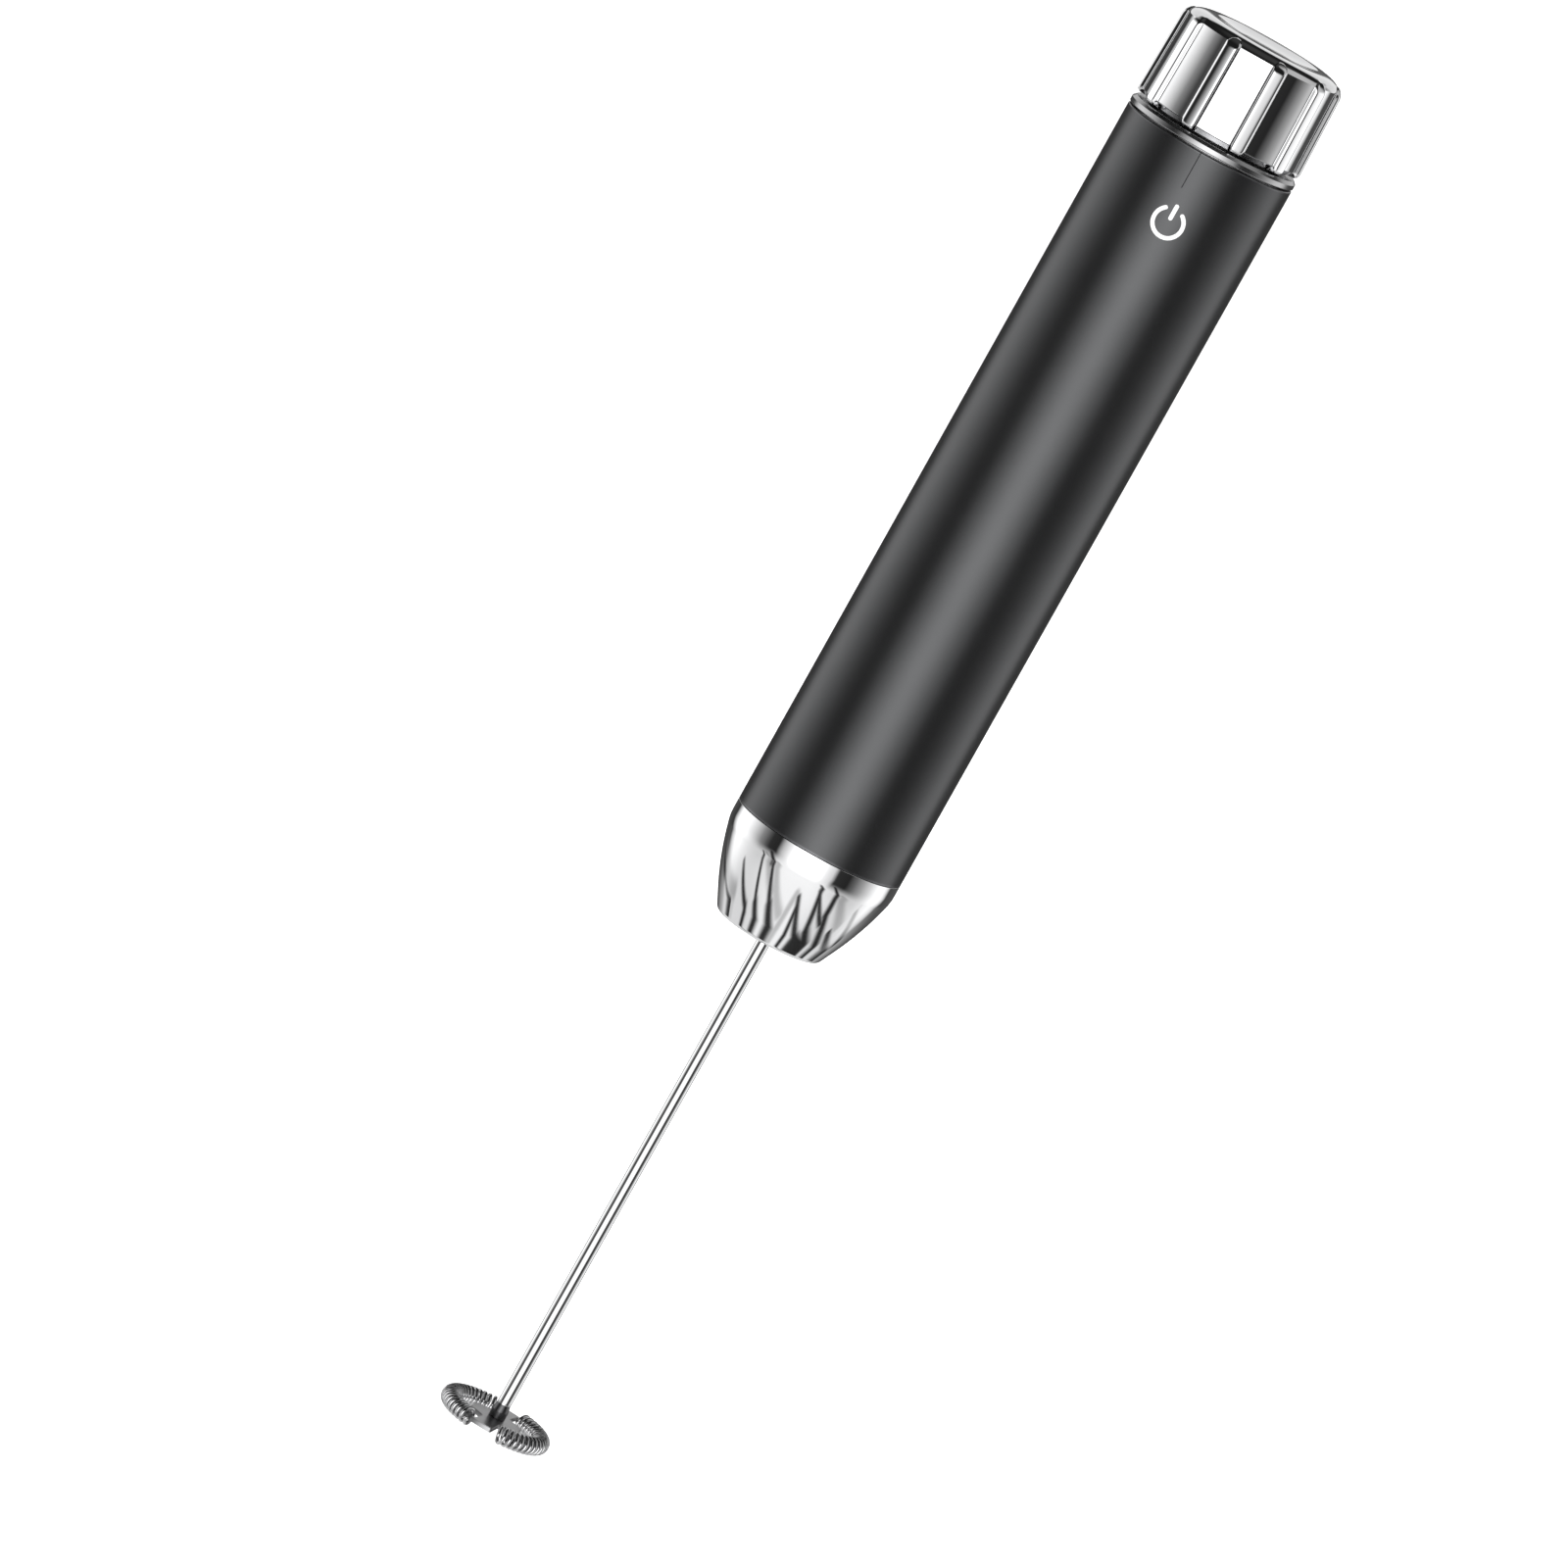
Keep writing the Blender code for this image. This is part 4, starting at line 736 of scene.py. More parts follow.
def make_nose(finishes):
    """Tapered nose: straight land, swelling taper, rounded tip, thin shell and a spigot with a seal groove."""
    tip, top = nose_low.z, nose_high.z
    seam = -0.03 * MM
    outline = rounded([
        (NOSE_OPENING, tip, 0.2 * MM),
        (NOSE_TIP, tip, 1.1 * MM),
        (*NOSE_WAIST, NOSE_SWELL),
        (BODY_RADIUS, -NOSE_LAND, 8.0 * MM),
        (BODY_RADIUS, seam, 0.05 * MM),
        (LINER_RADIUS, seam, 0.0),
        (LINER_RADIUS, 2.75 * MM, 0.05 * MM),
        (LINER_RADIUS - 1.2 * MM, 2.75 * MM, 0.0),
        (LINER_RADIUS - 1.2 * MM, 4.25 * MM, 0.0),
        (LINER_RADIUS, 4.25 * MM, 0.05 * MM),
        (LINER_RADIUS, top, 0.3 * MM),
        (LINER_RADIUS - 2.1 * MM, top, 0.1 * MM),
        (LINER_RADIUS - 2.1 * MM, -NOSE_LAND, 0.5 * MM),
        (8.5 * MM, tip + 2.6 * MM, 0.5 * MM),
        (NOSE_OPENING, tip + 1.3 * MM, 0.2 * MM),
    ], 12)
    piece("nose_skin", spun(outline, 320), finishes["chrome"], "handle", "chrome", "nose_cone")


def make_collar(finishes):
    """Chromed collar with a chamfered top edge and a lip that clamps the plug."""
    low, top = sleeve_high.z + FIT, collar_high.z
    lip = sleeve_high.z + 0.15 * MM
    outline = rounded([
        (COLLAR_BORE, collar_low.z, 0.1 * MM),
        (LINER_RADIUS, collar_low.z, 0.3 * MM),
        (LINER_RADIUS, low, 0.0),
        (BODY_RADIUS, low, 0.18 * MM),
        (BODY_RADIUS, top - COLLAR_CHAMFER, 0.12 * MM),
        (BODY_RADIUS - COLLAR_CHAMFER, top, 0.12 * MM),
        (NECK_RADIUS + FIT, top, 0.1 * MM),
        (NECK_RADIUS + FIT, lip, 0.0),
        (COLLAR_BORE, lip, 0.0),
    ], 8)
    piece("collar_skin", spun(outline), finishes["satin_chrome"], "handle", "chrome", "collar_ring")


def make_cover(finishes):
    """Soft cover over the port: follows the sleeve, with a moulded lip to pull and a tongue for the socket."""
    height, width = cover_high.z - cover_low.z, cover_high.x - cover_low.x
    back = SLEEVE_BORE - 0.5 * MM
    slot = slot_points(height, width)

    def skin(inset, drop):
        shrink = [((width - 2 * inset) / width), ((height - 2 * inset) / height)]
        row = []
        for x, z in slot:
            x, z = x * shrink[0], z * shrink[1]
            ridge = lip(x, z)
            row.append((x, math.sqrt(BODY_RADIUS ** 2 - x * x) - drop + ridge, PORT_MIDDLE + z))
        return row

    def lip(x, z):
        """A low crescent near the foot, for a fingernail."""
        away = abs(z + height / 2 - 2.3 * MM + x * x * 60.0)
        return 0.0 if away > 0.55 * MM or abs(x) > 2.2 * MM else -0.22 * MM * (1 - (away / (0.55 * MM)) ** 2)

    rows = [[(x, back, PORT_MIDDLE + z) for x, z in slot]]
    rows.append(skin(0.0, 0.55 * MM))
    for step in range(5):
        turn = math.pi / 2 * step / 4
        rows.append(skin(0.25 * MM * (1 - math.cos(turn)), 0.25 * MM * (1 - math.sin(turn))))
    for inset in (0.5, 0.8, 1.1, 1.4, 1.7, 2.0, 2.4, 2.8, 3.2):
        rows.append(skin(inset * MM, 0.0))
    outer = lattice(rows, caps=(0, -1))
    tongue = slot_points(7.8 * MM, 2.1 * MM, 12)
    depth = cover_low.y
    rows = [[(x * size, y, PORT_MIDDLE + z * size) for x, z in tongue] for y, size in (
        (depth, 0.85), (depth + 0.3 * MM, 1.0), (back + 0.1 * MM, 1.0))]
    mesh = joined(outer, lattice(rows, caps=(0, -1)))
    piece("cover_skin", mesh, finishes["rubber"], "port_cover", "rubber", "port_cover")


def make_marks(finishes):
    """Power mark in white ink and a scribed index line above it."""
    middle = sleeve_high.z - MARK_DROP

    def on_sleeve(across, up, proud):
        turn = across / BODY_RADIUS
        radius = BODY_RADIUS + proud
        return (radius * math.sin(turn), -radius * math.cos(turn), up)

    def inked(strokes, width):
        """Strokes with round ends, wrapped onto the sleeve, a film thick."""
        bm = bmesh.new()
        for stroke in strokes:
            outline = stroke_outline(stroke, width / 2)
            outer = [bm.verts.new(on_sleeve(x, z, MARK_PROUD)) for x, z in outline]
            inner = [bm.verts.new(on_sleeve(x, z, -MARK_PROUD)) for x, z in outline]
            half = len(outline) // 2
            for index in range(len(outline)):
                after = (index + 1) % len(outline)
                bm.faces.new((outer[index], outer[after], inner[after], inner[index]))
            for loop in (outer, inner):
                for index in range(half - 1):
                    bm.faces.new((loop[index], loop[index + 1], loop[-2 - index], loop[-1 - index]))
        bmesh.ops.recalc_face_normals(bm, faces=bm.faces)
        return smooth_mesh(bm)

    ring = []
    for step in range(61):
        turn = math.radians(90 + MARK_OPENING + (360 - 2 * MARK_OPENING) * step / 60)
        ring.append((MARK_RADIUS * math.cos(turn), middle + MARK_RADIUS * math.sin(turn)))
    bar = [(0.0, middle + (0.8 + 2.15 * step / 6) * MM) for step in range(7)]
    piece("power_mark", inked([ring, bar], MARK_STROKE), finishes["ink"], "handle", "grey_plastic")

    top = sleeve_high.z - 0.1 * MM
    line = [(-0.85 * MM, top - 6.4 * MM * step / 8) for step in range(9)]
    piece("index_line", inked([line], 0.14 * MM), finishes["groove"], "handle", "black_anodised")


def stroke_outline(points, half):
    """The closed outline of a stroke with round ends, as two sides of equal length."""
    path = [Vector(point) for point in points]
    left, right = [], []
    last = len(path) - 1
    for index, point in enumerate(path):
        heading = (path[min(index + 1, last)] - path[max(index - 1, 0)]).normalized()
        side = Vector((-heading.y, heading.x))
        if index in (0, last):
            way = -1 if index == 0 else 1
            shares = (1.0, 0.8, 0.5, 0.0) if index == 0 else (0.0, 0.5, 0.8, 1.0)
            for share in shares:
                spread = math.sqrt(1 - share * share) * half
                spot = point + heading * way * half * share
                left.append(spot + side * max(spread, half * 0.05))
                right.append(spot - side * max(spread, half * 0.05))
        else:
            left.append(point + side * half)
            right.append(point - side * half)
    return [tuple(spot) for spot in left + right[::-1]]


# ---- Knob ----------------------------------------------------------------------------------------

def rib_section():
    """Half of a rib's cross-section from its crest to its foot, as (across, height share)."""
    steep = math.radians(RIB_STEEPNESS)
    section = [(0.0, 1.0), (RIB_HALF_TOP * 0.5, 1.0)]
    for step in range(11):
        turn = steep * step / 10
        across = RIB_HALF_TOP + RIB_SHOULDER * math.sin(turn)
        height = RIB_HEIGHT - RIB_SHOULDER * (1 - math.cos(turn))
        section.append((across, height / RIB_HEIGHT))
    last = section[-1]
    foot_height = RIB_FOOT * (1 - math.cos(steep))
    run = (last[1] * RIB_HEIGHT - foot_height) / math.tan(steep)
    centre = last[0] + run + RIB_FOOT * math.sin(steep)
    for step in range(7):
        turn = steep * (1 - step / 6)
        section.append((centre - RIB_FOOT * math.sin(turn), RIB_FOOT * (1 - math.cos(turn)) / RIB_HEIGHT))
    return section


def knob_rows():
    """Levels of the knob's outside, as (panel radius, panel height, rib radius, rib height, rib width share)."""
    top = knob_high.z - knob_low.z
    foot, head = KNOB_FOOT - RIB_HEIGHT, KNOB_HEAD - RIB_HEIGHT
    shoulder, rim = top - KNOB_SHOULDER, top - KNOB_CROWN
    turn_in = rim - RIB_ROUNDING * math.sin(math.radians(64))
    end = 0.8 * MM

    def crest(height):
        """Radius of a rib's crest: a slight draft, then the rounding at the top."""
        draft = (height - KNOB_CHAMFER) / (shoulder - KNOB_CHAMFER)
        over = max(0.0, height - turn_in)
        straight = KNOB_FOOT + (KNOB_HEAD - KNOB_FOOT) * min(1.0, draft)
        return straight - RIB_ROUNDING + math.sqrt(RIB_ROUNDING ** 2 - over ** 2)

    def arch(height):
        """Share of its full width that a rib keeps toward its rounded upper end."""
        past = max(0.0, (height - (rim + 0.02 * MM - RIB_END)) / RIB_END)
        return max(0.05, math.sqrt(max(0.0, 1 - past ** 2)))

    rows = [(foot - KNOB_CHAMFER, 0.0, foot - KNOB_CHAMFER, 0.0, 0.80)]
    rows.append((foot - KNOB_CHAMFER * 0.9, KNOB_CHAMFER * 0.1, KNOB_FOOT - end * 1.1, 0.05 * MM, 0.80))
    for step in range(7):
        turn = math.pi / 2 * step / 6
        share = 0.15 + 0.8 * step / 6
        rows.append((
            foot - KNOB_CHAMFER * (1 - share), KNOB_CHAMFER * share,
            KNOB_FOOT - end + end * math.sin(turn), 0.05 * MM + end * (1 - math.cos(turn)),
            0.80 + 0.16 * math.sin(turn),
        ))
    rows.append((foot, KNOB_CHAMFER + 0.05 * MM, KNOB_FOOT, end + 0.15 * MM, 0.985))
    rows.append((foot, KNOB_CHAMFER + 0.12 * MM, KNOB_FOOT, KNOB_CHAMFER + 0.14 * MM, 1.0))
    low = KNOB_CHAMFER + 0.2 * MM
    heights = [low + (turn_in - low) * step / 4 for step in range(5)]
    heights += [turn_in + (shoulder - 0.02 * MM - turn_in) * step / 6 for step in range(1, 7)]
    for height in heights:
        panel = foot + (head - foot) * (height - KNOB_CHAMFER) / (shoulder - KNOB_CHAMFER)
        rows.append((panel, height, crest(height), height, arch(height)))
    steps = 20
    flat, steep = math.radians(20), math.radians(64)
    for step in range(steps + 1):
        share = step / steps
        facing = flat + (steep - flat) * share
        climb = (math.sin(facing) - math.sin(flat)) / (math.sin(steep) - math.sin(flat))
        inset = (math.cos(flat) - math.cos(facing)) / (math.cos(flat) - math.cos(steep))
        radius = head + (KNOB_RIM - head) * inset
        height = shoulder + (rim - shoulder) * climb
        proud = min(1.0, (1 - share) / 0.15) ** 0.5
        rows.append((radius, height, radius + (crest(height) - radius) * proud, height, arch(height)))
    for step in range(1, 11):
        share = 1 - step / 10
        radius = DISH_RADIUS + 0.25 * MM + (KNOB_RIM - DISH_RADIUS - 0.25 * MM) * share
        height = top - KNOB_CROWN * share ** 3.2
        rows.append((radius, height, radius, height, 0.05 + 0.95 * step / 10))
    return rows


def make_knob(finishes):
    """Ribbed cap: rounded bars on a plain drum, a soft top edge, a flat rim and a shallow dish."""
    half = rib_section()
    section = [(-across, share) for across, share in half[:0:-1]] + half
    reach = section[-1][0]
    spacing = math.tau / KNOB_RIBS
    rows = []
    for radius, height, rib_radius, rib_height, width in knob_rows():
        row = []
        for rib in range(KNOB_RIBS):
            middle = math.radians(KNOB_FIRST_RIB) + spacing * rib
            edge = reach / KNOB_HEAD
            for across, share in section:
                turn = middle + across * width / KNOB_HEAD
                out = radius + (rib_radius - radius) * share
                up = height + (rib_height - height) * share
                row.append((out * math.cos(turn), out * math.sin(turn), knob_low.z + up))
            start, finish = middle + edge * width, middle + spacing - edge * width
            for step in range(1, 10):
                turn = start + (finish - start) * step / 10
                row.append((radius * math.cos(turn), radius * math.sin(turn), knob_low.z + height))
        rows.append(row)
    turns = [math.atan2(point[1], point[0]) for point in rows[-1]]

    def plain(radius, height):
        return [(radius * math.cos(turn), radius * math.sin(turn), knob_low.z + height) for turn in turns]

    top = knob_high.z - knob_low.z
    for step in range(5):
        turn = math.radians(22 * step / 4)
        rows.append(plain(DISH_RADIUS - 0.6 * MM * math.sin(turn), top - 0.6 * MM * (1 - math.cos(turn))))
    lowest = rows[-1][0]
    edge_radius = math.hypot(lowest[0], lowest[1])
    edge_height = lowest[2] - knob_low.z
    for step in range(1, 13):
        share = step / 12
        drop = math.sin(share * math.pi / 2)
        rows.append(plain(edge_radius + (DISH_FLOOR - edge_radius) * share, edge_height + (top - DISH_DEPTH - edge_height) * drop))
    rows.append(plain(DISH_FLOOR * 0.6, top - DISH_DEPTH - 0.005 * MM))
    rows.append(plain(DISH_FLOOR * 0.1, top - DISH_DEPTH - 0.006 * MM))
    crown = top - 2.6 * MM
    under = [plain(0.5 * MM, crown), plain(KNOB_BORE - 0.4 * MM, crown), plain(KNOB_BORE, crown - 0.4 * MM)]
    under += [plain(KNOB_BORE, 0.3 * MM), plain(KNOB_BORE + 0.3 * MM, 0.0)]
    mesh = lattice(under + rows, caps=(0, -1), sharp=24.0)
    piece("knob_skin", mesh, finishes["chrome"], "knob", "chrome", "knob_cap")


# ---- Coupler and whisk ---------------------------------------------------------------------------

def make_coupler(finishes):
    """Push-on coupler with a lip, a tapered neck and both bores."""
    low, top = coupler_low.z, coupler_high.z
    shoulder = low + 13.9 * MM
    outline = rounded([
        (0.0, low + 10.0 * MM, 0.0),
        (1.38 * MM, low + 10.0 * MM, 0.0),
        (1.38 * MM, low, 0.15 * MM),
        (5.15 * MM, low, 0.4 * MM),
        (5.15 * MM, shoulder - 1.25 * MM, 0.1 * MM),
        (coupler_high.x, shoulder - 1.0 * MM, 0.1 * MM),
        (coupler_high.x, shoulder, 0.3 * MM),
        (3.35 * MM, shoulder, 0.4 * MM),
        (3.2 * MM, top, 0.3 * MM),
        (1.2 * MM, top, 0.15 * MM),
        (1.2 * MM, top - 11.5 * MM, 0.0),
        (0.0, top - 11.5 * MM, 0.0),
    ], 6)
    piece("coupler_skin", spun(outline, 128), finishes["black"], "whisk", "black_plastic", "whisk_coupler")


def make_rod(finishes):
    """Polished whisk rod with rounded ends, and the braze fillet that holds it to the cross bar."""
    radius = shaft_high.x
    outline = rounded([
        (0.0, shaft_low.z, 0.0),
        (radius, shaft_low.z, 0.25 * MM),
        (radius, shaft_high.z, 0.25 * MM),
        (0.0, shaft_high.z, 0.0),
    ], 6)
    piece("rod_skin", spun(outline, 96), finishes["rod"], "whisk", "stainless", "whisk_shaft")
    low = carrier_high.z
    foot = rounded([
        (radius + 0.01 * MM, low, 0.0),
        (radius + 0.24 * MM, low, 0.1 * MM),
        (radius + 0.24 * MM, low + 1.3 * MM, 0.8 * MM),
        (radius + 0.01 * MM, low + 2.6 * MM, 0.0),
    ], 6)
    piece("rod_braze", spun(foot, 64), finishes["weld"], "whisk", "plated_steel")


def make_carrier(finishes):
    """S-shaped stamping: a bar with a broad middle, and an arm running into each coil."""
    bar, web, flat, flare = 1.6 * MM, 4.4 * MM, 1.9 * MM, 1.7 * MM
    outer, inner = RING_RADIUS + 0.6 * MM, RING_RADIUS - 0.6 * MM
    corner, root = math.asin(bar / outer), math.asin(bar / inner)
    end = math.radians(150)
    corners = [
        (flat, -web, 0.6 * MM),
        (flat + flare, -bar, 0.8 * MM),
        (outer * math.cos(corner), -bar, 0.4 * MM),
    ]
    for step in range(1, 49):
        turn = -corner + (end + corner) * step / 48
        corners.append((outer * math.cos(turn), outer * math.sin(turn), 0.0))
    for step in range(48):
        turn = end + (root - end) * step / 48
        corners.append((inner * math.cos(turn), inner * math.sin(turn), 0.0))
    corners += [(flat + flare, bar, 0.8 * MM), (flat, web, 0.6 * MM)]
    whole = rounded(corners + [(-x, -y, rounding) for x, y, rounding in corners], 6)
    outline = [(point.x, -point.y) for point, _, _ in reversed(whole)]
    bm = bmesh.new()
    face = bm.faces.new([bm.verts.new((x, y, -CARRIER_THICKNESS / 2)) for x, y in outline])
    grown = bmesh.ops.extrude_face_region(bm, geom=[face])
    moved = [item for item in grown["geom"] if isinstance(item, bmesh.types.BMVert)]
    bmesh.ops.translate(bm, verts=moved, vec=(0, 0, CARRIER_THICKNESS))
    bmesh.ops.recalc_face_normals(bm, faces=bm.faces)
    rims = [edge for edge in bm.edges if abs(edge.verts[0].co.z - edge.verts[1].co.z) < 1e-9]
    bmesh.ops.bevel(bm, geom=rims, offset=0.08 * MM, segments=3, affect="EDGES", clamp_overlap=True)
    place = Matrix.Translation((0, 0, RING_Z)) @ Matrix.Rotation(math.radians(COIL_GAP_AZIMUTH), 4, "Z")
    bmesh.ops.transform(bm, matrix=place, verts=bm.verts)
    mesh = smooth_mesh(bm, 40.0)
    piece("carrier_skin", mesh, finishes["sheet"], "whisk", "stainless", "whisk_carrier")


def make_coils(finishes):
    """Two close-wound coils of drawn wire bent round the ring."""
    span = 180 - COIL_GAP
    per_turn = 28
    count = COIL_TURNS * per_turn
    for name, start in (("left", 0), ("right", 180)):
        first = start + COIL_GAP_AZIMUTH + COIL_GAP / 2
        points = []
        for index in range(count + 1):
            along = math.radians(first + span * index / count)
            roll = math.tau * index / per_turn
            radius = RING_RADIUS + COIL_RADIUS * math.cos(roll)
            height = RING_Z + COIL_RADIUS * math.sin(roll)
            points.append((radius * math.cos(along), radius * math.sin(along), height))
        mesh = tube(points, COIL_WIRE)
        piece("coil_skin_" + name, mesh, finishes["coil"], "whisk", "stainless", "whisk_coil_" + name)


# ---- Carried-over pieces -------------------------------------------------------------------------

NODE_FINISHES = {
    "nose_seal": "rubber",
    "end_plug": "black",
    "inner_frame": "grey",
    "motor_cup": "grey",
    "motor_can": "plated",
    "motor_end_cap": "black",
    "front_bush": "bronze",
    "rear_bush": "bronze",
    "magnet_front": "magnet",
    "magnet_rear": "magnet",
    "brush_left": "copper",
    "brush_right": "copper",
    "motor_screw_left": "plated",
    "motor_screw_right": "plated",
    "battery_cell": "cell",
    "battery_tab_minus": "nickel",
    "battery_tab_plus": "nickel",
    "circuit_board": "board",
    "charge_chip": "chip",
    "board_inductor": "magnet",
    "usb_socket": "plated",
    "motor_lead_plus": "red",
    "motor_lead_minus": "blackwire",
    "dial_switch": "plated",
    "dial_nut": "plated",
    "knob_hub": "black",
    "dial_spindle": "rod",
    "motor_shaft": "rod",
    "armature_core": "core",
    "winding_1": "copper",
    "winding_2": "copper",
    "winding_3": "copper",
    "commutator": "copper",
}


def dress_nodes(finishes):
    for name, choice in NODE_FINISHES.items():
        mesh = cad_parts[name].data
        mesh.materials.clear()
        mesh.materials.append(finishes[choice])


# ---- Studio --------------------------------------------------------------------------------------

WALL_LIGHT = (
    (-180, 0.10), (-150, 0.06), (-139, 0.04), (-133, 0.60), (-122, 1.45), (-110, 1.50), (-96, 1.15), (-82, 0.68),
    (-70, 0.26), (-60, 0.09), (-55, 0.03), (-43, 0.02), (-36, 0.55), (-26, 1.05), (-12, 2.20), (0, 2.90),
    (12, 2.30), (26, 1.05), (35, 0.75), (41, 0.03), (58, 0.02), (68, 0.14), (80, 0.38), (92, 0.72),
    (106, 1.20), (118, 1.35), (127, 0.85), (134, 0.07), (180, 0.10),
)
FLOOR_SLATS = (
    ((1.75, -1.60), (1.10, -0.42), 0.060), ((1.10, -0.42), (1.05, 0.35), 0.045),
    ((0.80, -1.30), (0.76, -0.37), 0.040), ((0.76, -0.37), (0.86, 0.00), 0.045),
    ((0.74, -1.15), (1.02, -0.28), 0.030), ((0.24, -1.00), (0.58, -0.37), 0.032),
    ((0.58, -0.37), (0.80, -0.10), 0.045), ((0.30, -0.90), (0.40, -0.05), 0.028),
    ((-1.90, -1.65), (-1.00, -0.98), 0.070), ((-1.15, -1.10), (-0.36, -0.69), 0.036),
    ((-0.36, -0.69), (0.02, -0.45), 0.050), ((-1.60, -0.80), (-0.68, -0.45), 0.028),
    ((-0.68, -0.45), (-0.05, -0.30), 0.040), ((-1.50, 0.10), (-0.81, -0.18), 0.034),
    ((-0.81, -0.18), (-0.35, -0.02), 0.040), ((-1.45, 2.60), (-1.34, 1.30), 0.045),
    ((-1.34, 1.30), (-1.08, 0.50), 0.028), ((1.75, 0.50), (1.28, 1.35), 0.050),
    ((1.24, 0.20), (1.15, 1.30), 0.036),
)
SOFT_SLATS = (
    ((-1.50, -0.95), (-0.47, -0.81), 0.060), ((-1.80, 2.10), (-1.16, 0.33), 0.070),
    ((-0.85, -1.10), (-0.02, -0.70), 0.050), ((1.45, -0.60), (1.40, 0.30), 0.070),
    ((0.15, -1.05), (0.10, -0.55), 0.040),
)


def make_surroundings():
    """White sweep to the eye; to everything else, soft boxes with dark flags between and dark slats below."""
    world = bpy.data.worlds.new("studio")
    bpy.context.scene.world = world
    world.use_nodes = True
    studio = Recipe(world.node_tree)
    heading = studio.node("ShaderNodeTexCoord", {}, {}, "Generated")
    x, y, z = studio.axes(heading)
    azimuth = studio.node("ShaderNodeMath", {"operation": "ARCTAN2"}, {0: x, 1: -y})
    rise = studio.node("ShaderNodeMath", {"operation": "ARCSINE"}, {0: z}) * math.degrees(1.0)
    share = azimuth / math.tau + 0.5
    stops = [((angle + 180) / 360, value) for angle, value in WALL_LIGHT]
    wall = studio.node("ShaderNodeValToRGB", {"stops": stops}, {0: share})

    down = studio.node("ShaderNodeMath", {"operation": "MAXIMUM"}, {0: -z, 1: 0.02})
    spot_x, spot_y = x / down, y / down
    slats = 0.0
    strips = [(*slat, 1.0) for slat in FLOOR_SLATS] + [(*slat, 0.45) for slat in SOFT_SLATS]
    for (start_x, start_y), (end_x, end_y), half, depth in strips:
        run_x, run_y = end_x - start_x, end_y - start_y
        size = run_x ** 2 + run_y ** 2
        off_x, off_y = spot_x - start_x, spot_y - start_y
        along = studio.node(
            "ShaderNodeClamp", {}, {0: (off_x * run_x + off_y * run_y) / size, 1: 0.0, 2: 1.0})
        gap_x, gap_y = off_x - along * run_x, off_y - along * run_y
        gap = (gap_x * gap_x + gap_y * gap_y) ** 0.5
        slats = studio.node("ShaderNodeMath", {"operation": "MAXIMUM"}, {0: slats, 1: studio.smooth(gap, half * 2.8, half * 0.4) * depth})
    front = studio.smooth(abs(azimuth), 0.25, 1.4, 1.05, 0.78)
    floor = front * (1.0 - slats * 0.97)

    below = studio.smooth(rise, -16.0, -40.0)
    above = studio.smooth(rise, 8.0, 24.0)
    behind = studio.smooth(abs(azimuth), 2.1, 2.5)
    rear_box = behind * studio.smooth(rise, 5.4, 8.0) * studio.smooth(rise, 36.0, 28.0)
    right_box = studio.smooth(azimuth, 0.75, 0.95) * studio.smooth(azimuth, 2.2, 1.9) * studio.smooth(rise, 80.0, 60.0)
    sky = 0.012 + studio.smooth(rise, 45.0, 75.0) * 0.03 + right_box * 0.5 * (1.0 - behind)
    light = wall * (1.0 - below) * (1.0 - above) + floor * below + sky * above + rear_box * 0.75

    glow = studio.node("ShaderNodeBackground", {}, {"Color": light, "Strength": 1.0})
    sweep = studio.node("ShaderNodeBackground", {}, {"Color": (1.0, 1.0, 1.0, 1.0), "Strength": 1.0})
    seen = studio.node("ShaderNodeLightPath", {}, {}, "Is Camera Ray")
    both = studio.node("ShaderNodeMixShader", {}, {0: seen, 1: glow, 2: sweep})
    output = studio.tree.nodes.new("ShaderNodeOutputWorld")
    studio.feed(output.inputs[0], both)


def make_floor():
    """Plain pale floor well below the whisk, bright enough to melt into the white sweep."""
    made = Finish("pale_floor", roughness=0.6, emission_strength=1.0)
    tone = made.noise(3.0, 2.0)
    made.colour(made.blend(tone, (0.90, 0.90, 0.90), (0.94, 0.94, 0.94)))
    made.shader.inputs["Emission Color"].default_value = (1.0, 1.0, 1.0, 1.0)
    reach, depth, level = 12.0, 12.0, cad_low.z - 40 * MM
    rows = []
    for step in range(2):
        rows.append([(side * reach, -depth + 2 * depth * step, level) for side in (-1, 1)])
    mesh = lattice(rows, closed_columns=False)
    floor = bpy.data.objects.new("floor", mesh)
    bpy.context.scene.collection.objects.link(floor)
    mesh.materials.append(made.material)
    floor.visible_glossy = False


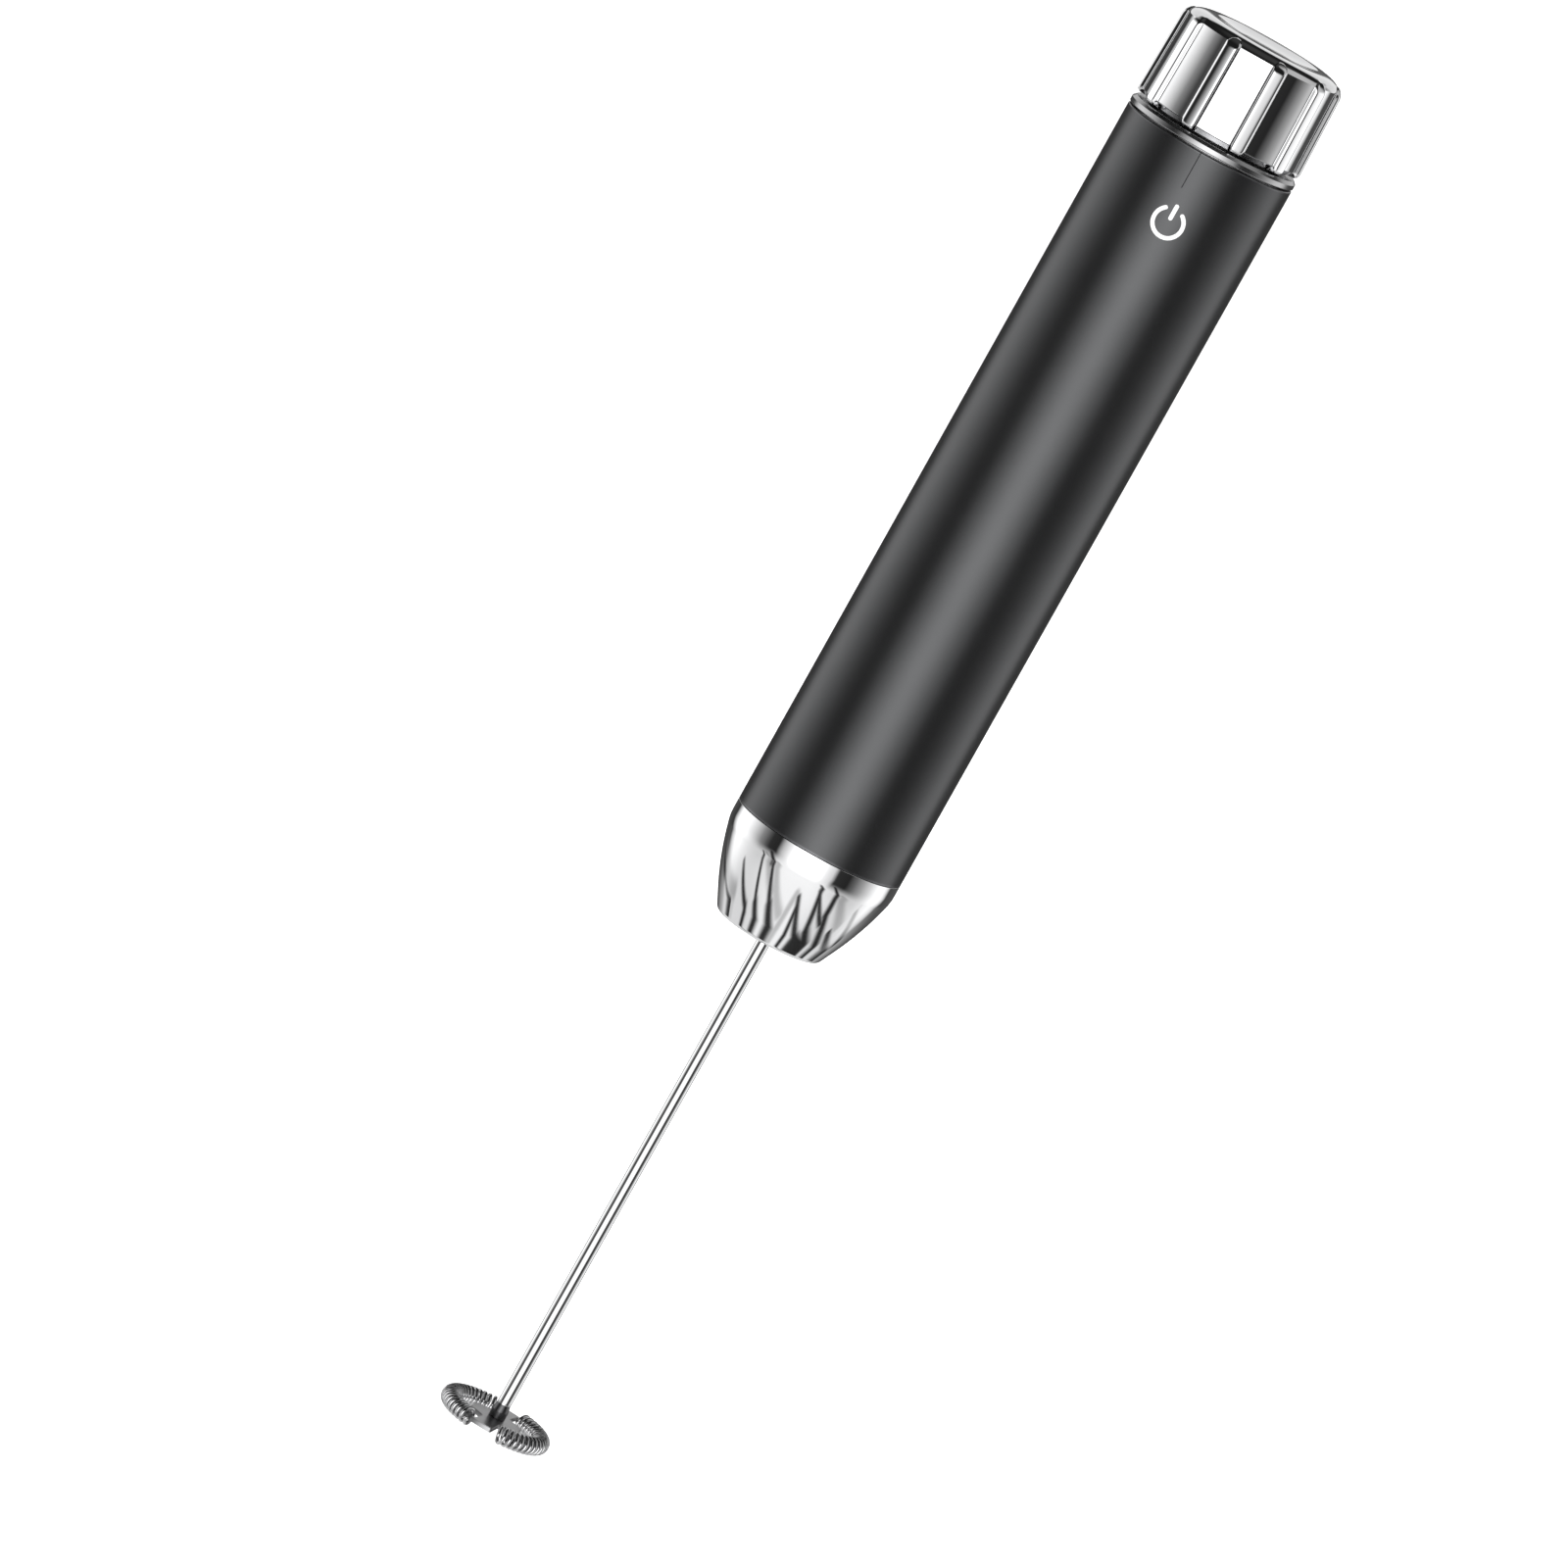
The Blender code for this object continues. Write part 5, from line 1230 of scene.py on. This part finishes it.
def make_light(name, place, aim, size, power):
    """A large soft box that lights matt pieces and stays out of the mirror finishes."""
    data = bpy.data.lights.new(name, "AREA")
    data.shape = "RECTANGLE"
    data.size, data.size_y = size
    data.energy = power
    lamp = bpy.data.objects.new(name, data)
    bpy.context.scene.collection.objects.link(lamp)
    lamp.location = place
    lamp.rotation_euler = (Vector(aim) - Vector(place)).to_track_quat("-Z", "Y").to_euler()
    lamp.visible_glossy = False
    lamp.visible_camera = False


def make_camera():
    """Long lens from slightly above, rolled so that the frother leans with its knob to the upper right."""
    data = bpy.data.cameras.new("studio_camera")
    data.lens = 262.4
    data.sensor_width = 36.0
    data.clip_start = 0.05
    data.clip_end = 50.0
    camera = bpy.data.objects.new("studio_camera", data)
    bpy.context.scene.collection.objects.link(camera)
    lift, roll = math.radians(9.589), math.radians(29.27)
    back = Vector((0.0, -math.cos(lift), math.sin(lift)))
    right = Vector((1.0, 0.0, 0.0))
    up = back.cross(right)
    across = right * math.cos(roll) + up * math.sin(roll)
    upward = up * math.cos(roll) - right * math.sin(roll)
    turn = Matrix((across, upward, back)).transposed().to_4x4()
    camera.matrix_world = Matrix.Translation((-9.671 * MM, -1835.04 * MM, 315.33 * MM)) @ turn
    bpy.context.scene.camera = camera


# ---- Assembly ------------------------------------------------------------------------------------

def build():
    bpy.context.scene.view_settings.view_transform = "Standard"
    make_camera()
    finishes = make_finishes()
    make_sleeve(finishes)
    make_nose(finishes)
    make_collar(finishes)
    make_cover(finishes)
    make_marks(finishes)
    make_knob(finishes)
    make_coupler(finishes)
    make_rod(finishes)
    make_carrier(finishes)
    make_coils(finishes)
    dress_nodes(finishes)
    make_surroundings()
    make_floor()
    make_light("key_box", (-0.8, -0.9, 0.9), (0, 0, 0), (0.9, 0.9), 9.0)
    make_light("fill_box", (0.9, -0.7, 0.5), (0, 0, 0), (0.8, 1.0), 5.0)
    make_light("rear_box", (0.2, 1.1, 0.8), (0, 0, 0), (1.0, 0.8), 5.0)


build()
